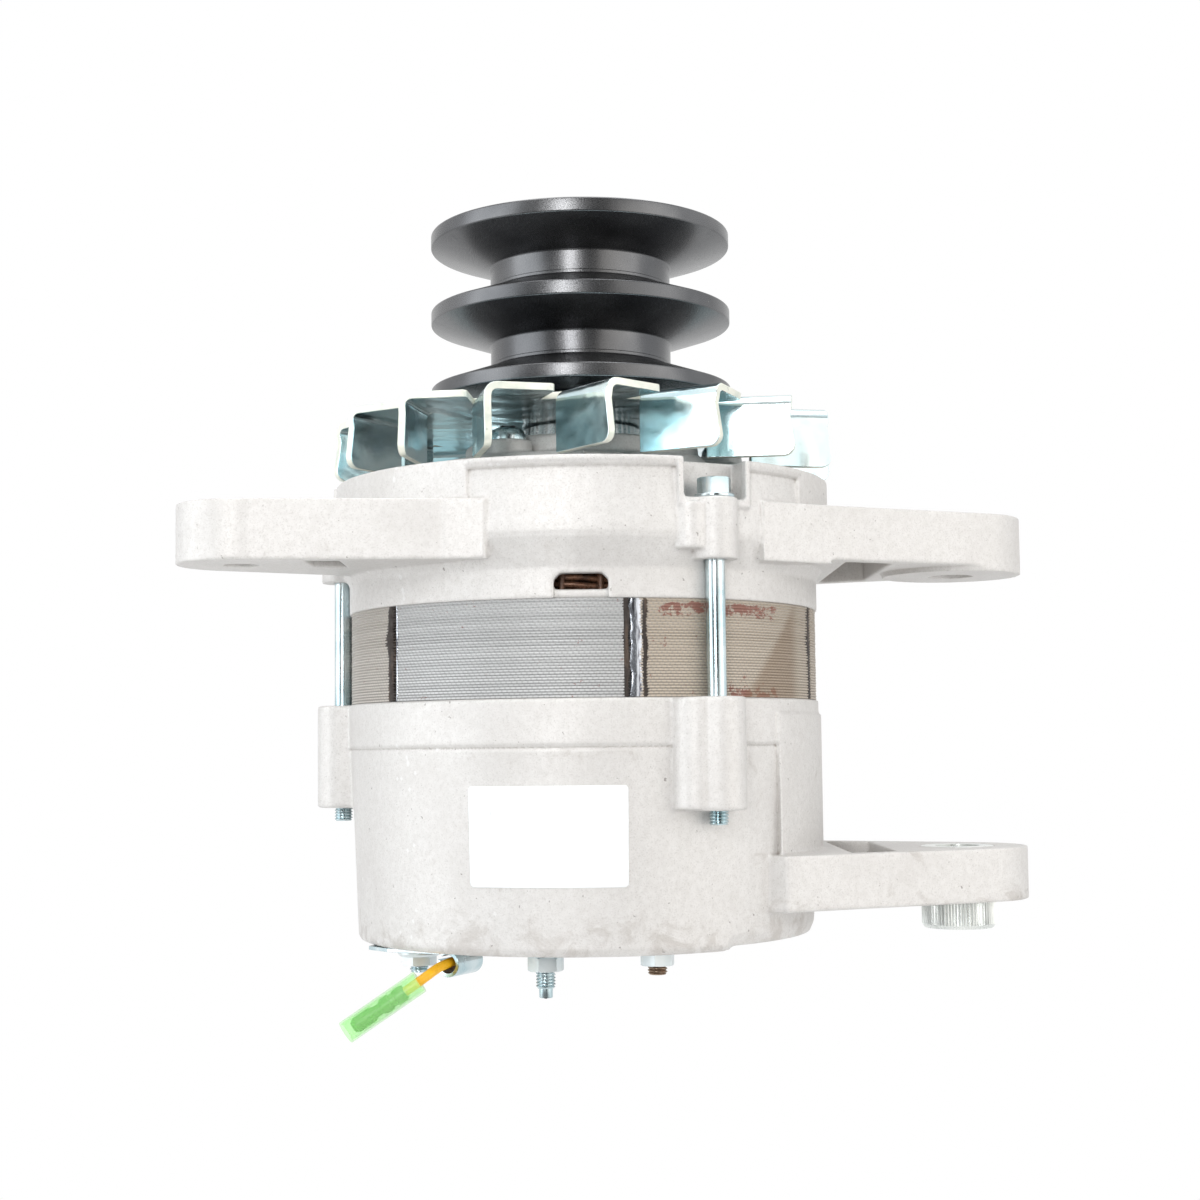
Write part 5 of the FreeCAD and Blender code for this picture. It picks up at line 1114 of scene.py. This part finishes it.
def make_label():
    """A bare white plate on the wall, with rounded corners and a slight ripple."""
    start, end, top, low = -26.4, 10.0, -56.4, -81.6
    corner, wall_r, rise = 0.6, 64.0, 0.32
    rows = []
    for i in range(61):
        azimuth = start + (end - start) * i / 60
        edge = min(azimuth - start, end - azimuth) * math.pi / 180.0 * wall_r
        cut = corner - math.sqrt(max(0.0, corner ** 2 - (corner - edge) ** 2)) if edge < corner else 0.0
        row = []
        for j in range(31):
            z = top - cut + (low + cut - top + cut) * j / 30
            ripple = 0.03 * math.sin(azimuth * 0.9 + z * 0.5)
            x, y = at(wall_radius(z) + rise + ripple, azimuth)
            row.append((x, y, z))
        rows.append(row)
    shape = Shape()
    shape.grid(rows)
    piece("plain_label", shape, FILM, "housing", ["rear_label"], sheet=0.3, sharp=60.0)


def make_clip():
    """A strip under the flange nut whose end is rolled into a loop about the lead."""
    turned = Matrix.Translation((*CLIP_STUD, 0.0)) @ Matrix.Rotation(math.radians(-26.6), 4, "Z")
    reach, half, radius, gauge = 12.4, 6.45, 3.5, 1.0
    first, sweep, tighter, narrower = 128.0, 330.0, 0.25, 0.5
    top = REAR_FACE - 0.02
    corners = [(-14.2, -3.0), (-5.6, -half), (reach - 2.2, -half), (reach - 2.2, half), (-5.6, half),
               (-14.2, 3.0)]
    strip = Shape()
    strip.prism(rounded(corners, [1.5, 2.5, 0.0, 0.0, 2.5, 1.5], 4), top - gauge, top)
    piece("clip_strip", strip.moved(turned), ZINC, "housing", ["wire_clip"], edge=0.15)
    middle = REAR_FACE - radius
    rows = []
    for i in range(49):
        share = i / 48
        angle = math.radians(first - sweep * share)
        outer_r = radius - tighter * share
        end = half - narrower * share
        section = ((outer_r, -end), (outer_r, end), (outer_r - gauge, end), (outer_r - gauge, -end))
        rows.append([(reach + math.cos(angle) * r, y, middle + math.sin(angle) * r) for r, y in section])
    loop = Shape()
    loop.grid(rows, wrap_columns=True, cap_rows=True)
    # The inner face of the loop takes the dark brown steel, darker than the plate outside.
    for number in range(2, len(loop.faces) - 2, 4):
        loop.kinds[number] = 1
    piece("clip_loop", loop.moved(turned), [ZINC, BROWNED], "housing", edge=0.12)


LEAD_R = 1.25
LEAD_ROUTE = [
    (-24.5, -24.5, -89.9),
    (-24.5, -24.5, -97.0),
    (-29.6, -29.2, -102.0),
    (-36.3, -42.6, -101.8),
    (-42.2, -48.0, -105.9),
]
SLEEVE_AIM = Vector((-18.2, 0.0, -12.2)).normalized()
LEAD_END = Vector(LEAD_ROUTE[-1]) + SLEEVE_AIM * 4.4


def make_lead():
    """The yellow lead along its route, as a round curve."""
    curve = bpy.data.curves.new("yellow_lead", "CURVE")
    curve.dimensions = "3D"
    curve.bevel_depth = LEAD_R * MM
    curve.bevel_resolution = 6
    curve.resolution_u = 16
    curve.use_fill_caps = True
    route = [Vector(point) for point in LEAD_ROUTE] + [LEAD_END]
    spline = curve.splines.new("NURBS")
    spline.points.add(len(route) - 1)
    for point, spot in zip(spline.points, route):
        point.co = ((spot.x + SHAFT_X) * MM, spot.y * MM, spot.z * MM, 1.0)
    spline.order_u = 3
    spline.use_endpoint_u = True
    curve.materials.append(YELLOW)
    lead = bpy.data.objects.new("yellow_lead", curve)
    return settle(lead, "housing", ["regulator_lead"])


def sleeve_ring(radius, share, z):
    """A ring of the sleeve's wall, a little flattened towards its far end."""
    steps = 40
    flat = 1.0 - 0.10 * max(0.0, share - 0.72) / 0.28
    turns = [2 * math.pi * j / steps for j in range(steps)]
    return [(radius * math.cos(a), radius * flat * math.sin(a), z) for a in turns]


def make_sleeve():
    """The green sleeve and the bullet terminal in it, on the lead's end."""
    turned = Vector((0, 0, 1)).rotation_difference(SLEEVE_AIM).to_matrix().to_4x4()
    place = Matrix.Translation(Vector(LEAD_ROUTE[-1])) @ turned
    outer_r, inner_r, length, lip, steps = 3.0, 2.5, 22.5, 0.05, 40
    shares = [i / steps for i in range(steps + 1)]
    rows = [sleeve_ring(outer_r, share, length * share) for share in shares]
    for share in reversed(shares):
        rows.append(sleeve_ring(inner_r, share, lip + (length - 2 * lip) * share))
    shape = Shape()
    shape.grid(rows, wrap_rows=True, wrap_columns=True)
    sleeve = piece("vinyl_sleeve", shape.moved(place), GREEN, "housing",
                   ["terminal_sleeve"], sharp=50.0)
    profile = [(0.0, 4.4), (1.9, 4.4), (2.1, 5.0), (2.1, 7.2), (1.75, 7.6), (1.75, 8.6), (2.1, 9.0),
               (2.1, 10.9), (1.5, 11.9), (1.5, 13.4), (2.0, 14.4), (2.0, 19.2), (1.4, 20.2), (0.0, 20.4)]
    shape = Shape()
    shape.lathe(profile, steps=40, closed=False)
    bullet = piece("bullet", shape.moved(place), TERMINAL, "housing",
                   ["bullet_terminal"], sharp=30.0)
    return sleeve, bullet


make_springs()
make_label()
make_clip()
lead = make_lead()
sleeve, bullet = make_sleeve()


# Stage, light and camera.

def make_stage():
    """A pale sweep: a floor far below that turns up into a wall far behind."""
    floor_z, wall_y, turn_r, half = -0.75, 1.6, 0.8, 4.0
    profile = [(-half, floor_z), (wall_y - turn_r, floor_z)]
    for i in range(1, 17):
        angle = math.radians(90.0 * i / 16)
        y = wall_y - turn_r + turn_r * math.sin(angle)
        profile.append((y, floor_z + turn_r - turn_r * math.cos(angle)))
    profile.append((wall_y, half))
    points = [(x, y, z) for x in (-half, half) for y, z in profile]
    count = len(profile)
    mesh = bpy.data.meshes.new("sweep")
    mesh.from_pydata(points, [], [(i, i + 1, count + i + 1, count + i) for i in range(count - 1)])
    mesh.shade_smooth()
    look = Look("pale sweep")
    mesh.materials.append(look.material)
    fine = look.noise(9.0, roughness=0.5)
    colour = look.over((0.84, 0.84, 0.84), (0.87, 0.87, 0.87), fine, 0.3, 0.7)
    look.done(colour, look.span(fine, 0.3, 0.7, 0.7, 0.8))
    x, y, z = look.parts()
    rays = look.node("ShaderNodeLightPath", {}, {})
    mirrored = rays.outputs["Is Glossy Ray"]
    seen = look.math("MAXIMUM", rays.outputs["Is Camera Ray"], rays.outputs["Is Transmission Ray"])
    seen = look.math("MAXIMUM", seen, mirrored)
    strength = look.minus(1.0, look.times(mirrored, look.span(y, -0.2, -1.2, 0.0, 0.95)))
    glow = look.node("ShaderNodeEmission", {}, {"Color": WHITE, "Strength": strength}).outputs[0]
    mixed = look.node("ShaderNodeMixShader", {}, {0: seen, 1: look.shader.outputs[0], 2: glow})
    look.join(mixed.outputs[0], look.output.inputs[0])
    sweep = bpy.data.objects.new("sweep", mesh)
    bpy.context.scene.collection.objects.link(sweep)


WHITE = (1.0, 1.0, 1.0, 1.0)
COOL = (0.93, 0.97, 1.0)
WARM = (1.0, 0.965, 0.92)
NEUTRAL = (1.0, 1.0, 1.0)
LAMPS = (
    ("left_box", (-1.5, -0.5, 0.22), (1.2, 1.4), 9.3, COOL),
    ("right_box", (1.15, -1.0, 0.14), (1.6, 1.6), 10.7, WARM),
    ("top_box", (-0.1, -0.2, 1.5), (1.4, 1.4), 13.0, NEUTRAL),
    ("front_box", (-0.46, -1.65, 0.40), (0.35, 1.1), 13.0, NEUTRAL),
)


def make_lamps():
    """Soft boxes that point at the shaft."""
    target = Vector((SHAFT_X * MM, 0.0, 0.0))
    for name, place, size, power, colour in LAMPS:
        light = bpy.data.lights.new(name, "AREA")
        light.shape = "RECTANGLE"
        light.size, light.size_y = size
        light.energy = power
        light.color = colour
        obj = bpy.data.objects.new(name, light)
        obj.location = place
        obj.rotation_euler = (target - Vector(place)).to_track_quat("-Z", "Y").to_euler()
        bpy.context.scene.collection.objects.link(obj)


def surround(nodes, front, around):
    """The room's light: dimmer on the camera's side, where the studio is dark."""
    place = nodes.node("ShaderNodeTexCoord", {}, {}).outputs["Generated"]
    away = nodes.node("ShaderNodeSeparateXYZ", {}, {0: place}).outputs[1]
    strength = nodes.span(away, -0.95, -0.25, front, around)
    inputs = {"Color": (0.98, 0.99, 1.0, 1.0), "Strength": strength}
    return nodes.node("ShaderNodeBackground", {}, inputs).outputs[0]


def make_world():
    """A soft room that is plain white where the camera sees it."""
    world = bpy.data.worlds.new("soft studio")
    world.use_nodes = True
    bpy.context.scene.world = world
    nodes = Nodes(world.node_tree)
    white = nodes.node("ShaderNodeBackground", {}, {"Color": WHITE, "Strength": 1.0}).outputs[0]
    rays = nodes.node("ShaderNodeLightPath", {}, {})
    lit = surround(nodes, 0.45, 0.56)
    for ray, seen in (
        ("Is Glossy Ray", surround(nodes, 0.04, 1.15)),
        ("Is Transmission Ray", white),
        ("Is Camera Ray", white),
    ):
        inputs = {0: rays.outputs[ray], 1: lit, 2: seen}
        lit = nodes.node("ShaderNodeMixShader", {}, inputs).outputs[0]
    nodes.node("ShaderNodeOutputWorld", {}, {0: lit})


def make_camera():
    """The photograph's camera: a little below the object's middle, tilted up and rolled."""
    tilt, roll = 0.0767, -0.0108
    place, sensor, lens = (-0.09928, -0.54399, -0.04725), 36.0, 57.865
    up = Vector((0.0, -math.sin(tilt), math.cos(tilt)))
    ahead = Vector((0.0, math.cos(tilt), math.sin(tilt)))
    level = Vector((1.0, 0.0, 0.0))
    right = level * math.cos(roll) + up * math.sin(roll)
    above = up * math.cos(roll) - level * math.sin(roll)
    turned = Matrix((right, above, -ahead)).transposed().to_4x4()
    data = bpy.data.cameras.new("photo camera")
    data.sensor_width = sensor
    data.lens = lens
    data.clip_start = 0.01
    data.clip_end = 20.0
    camera = bpy.data.objects.new("photo camera", data)
    camera.matrix_world = Matrix.Translation(place) @ turned
    bpy.context.scene.collection.objects.link(camera)
    bpy.context.scene.camera = camera


make_stage()
make_lamps()
make_world()
make_camera()
bpy.context.scene.view_settings.view_transform = "Standard"
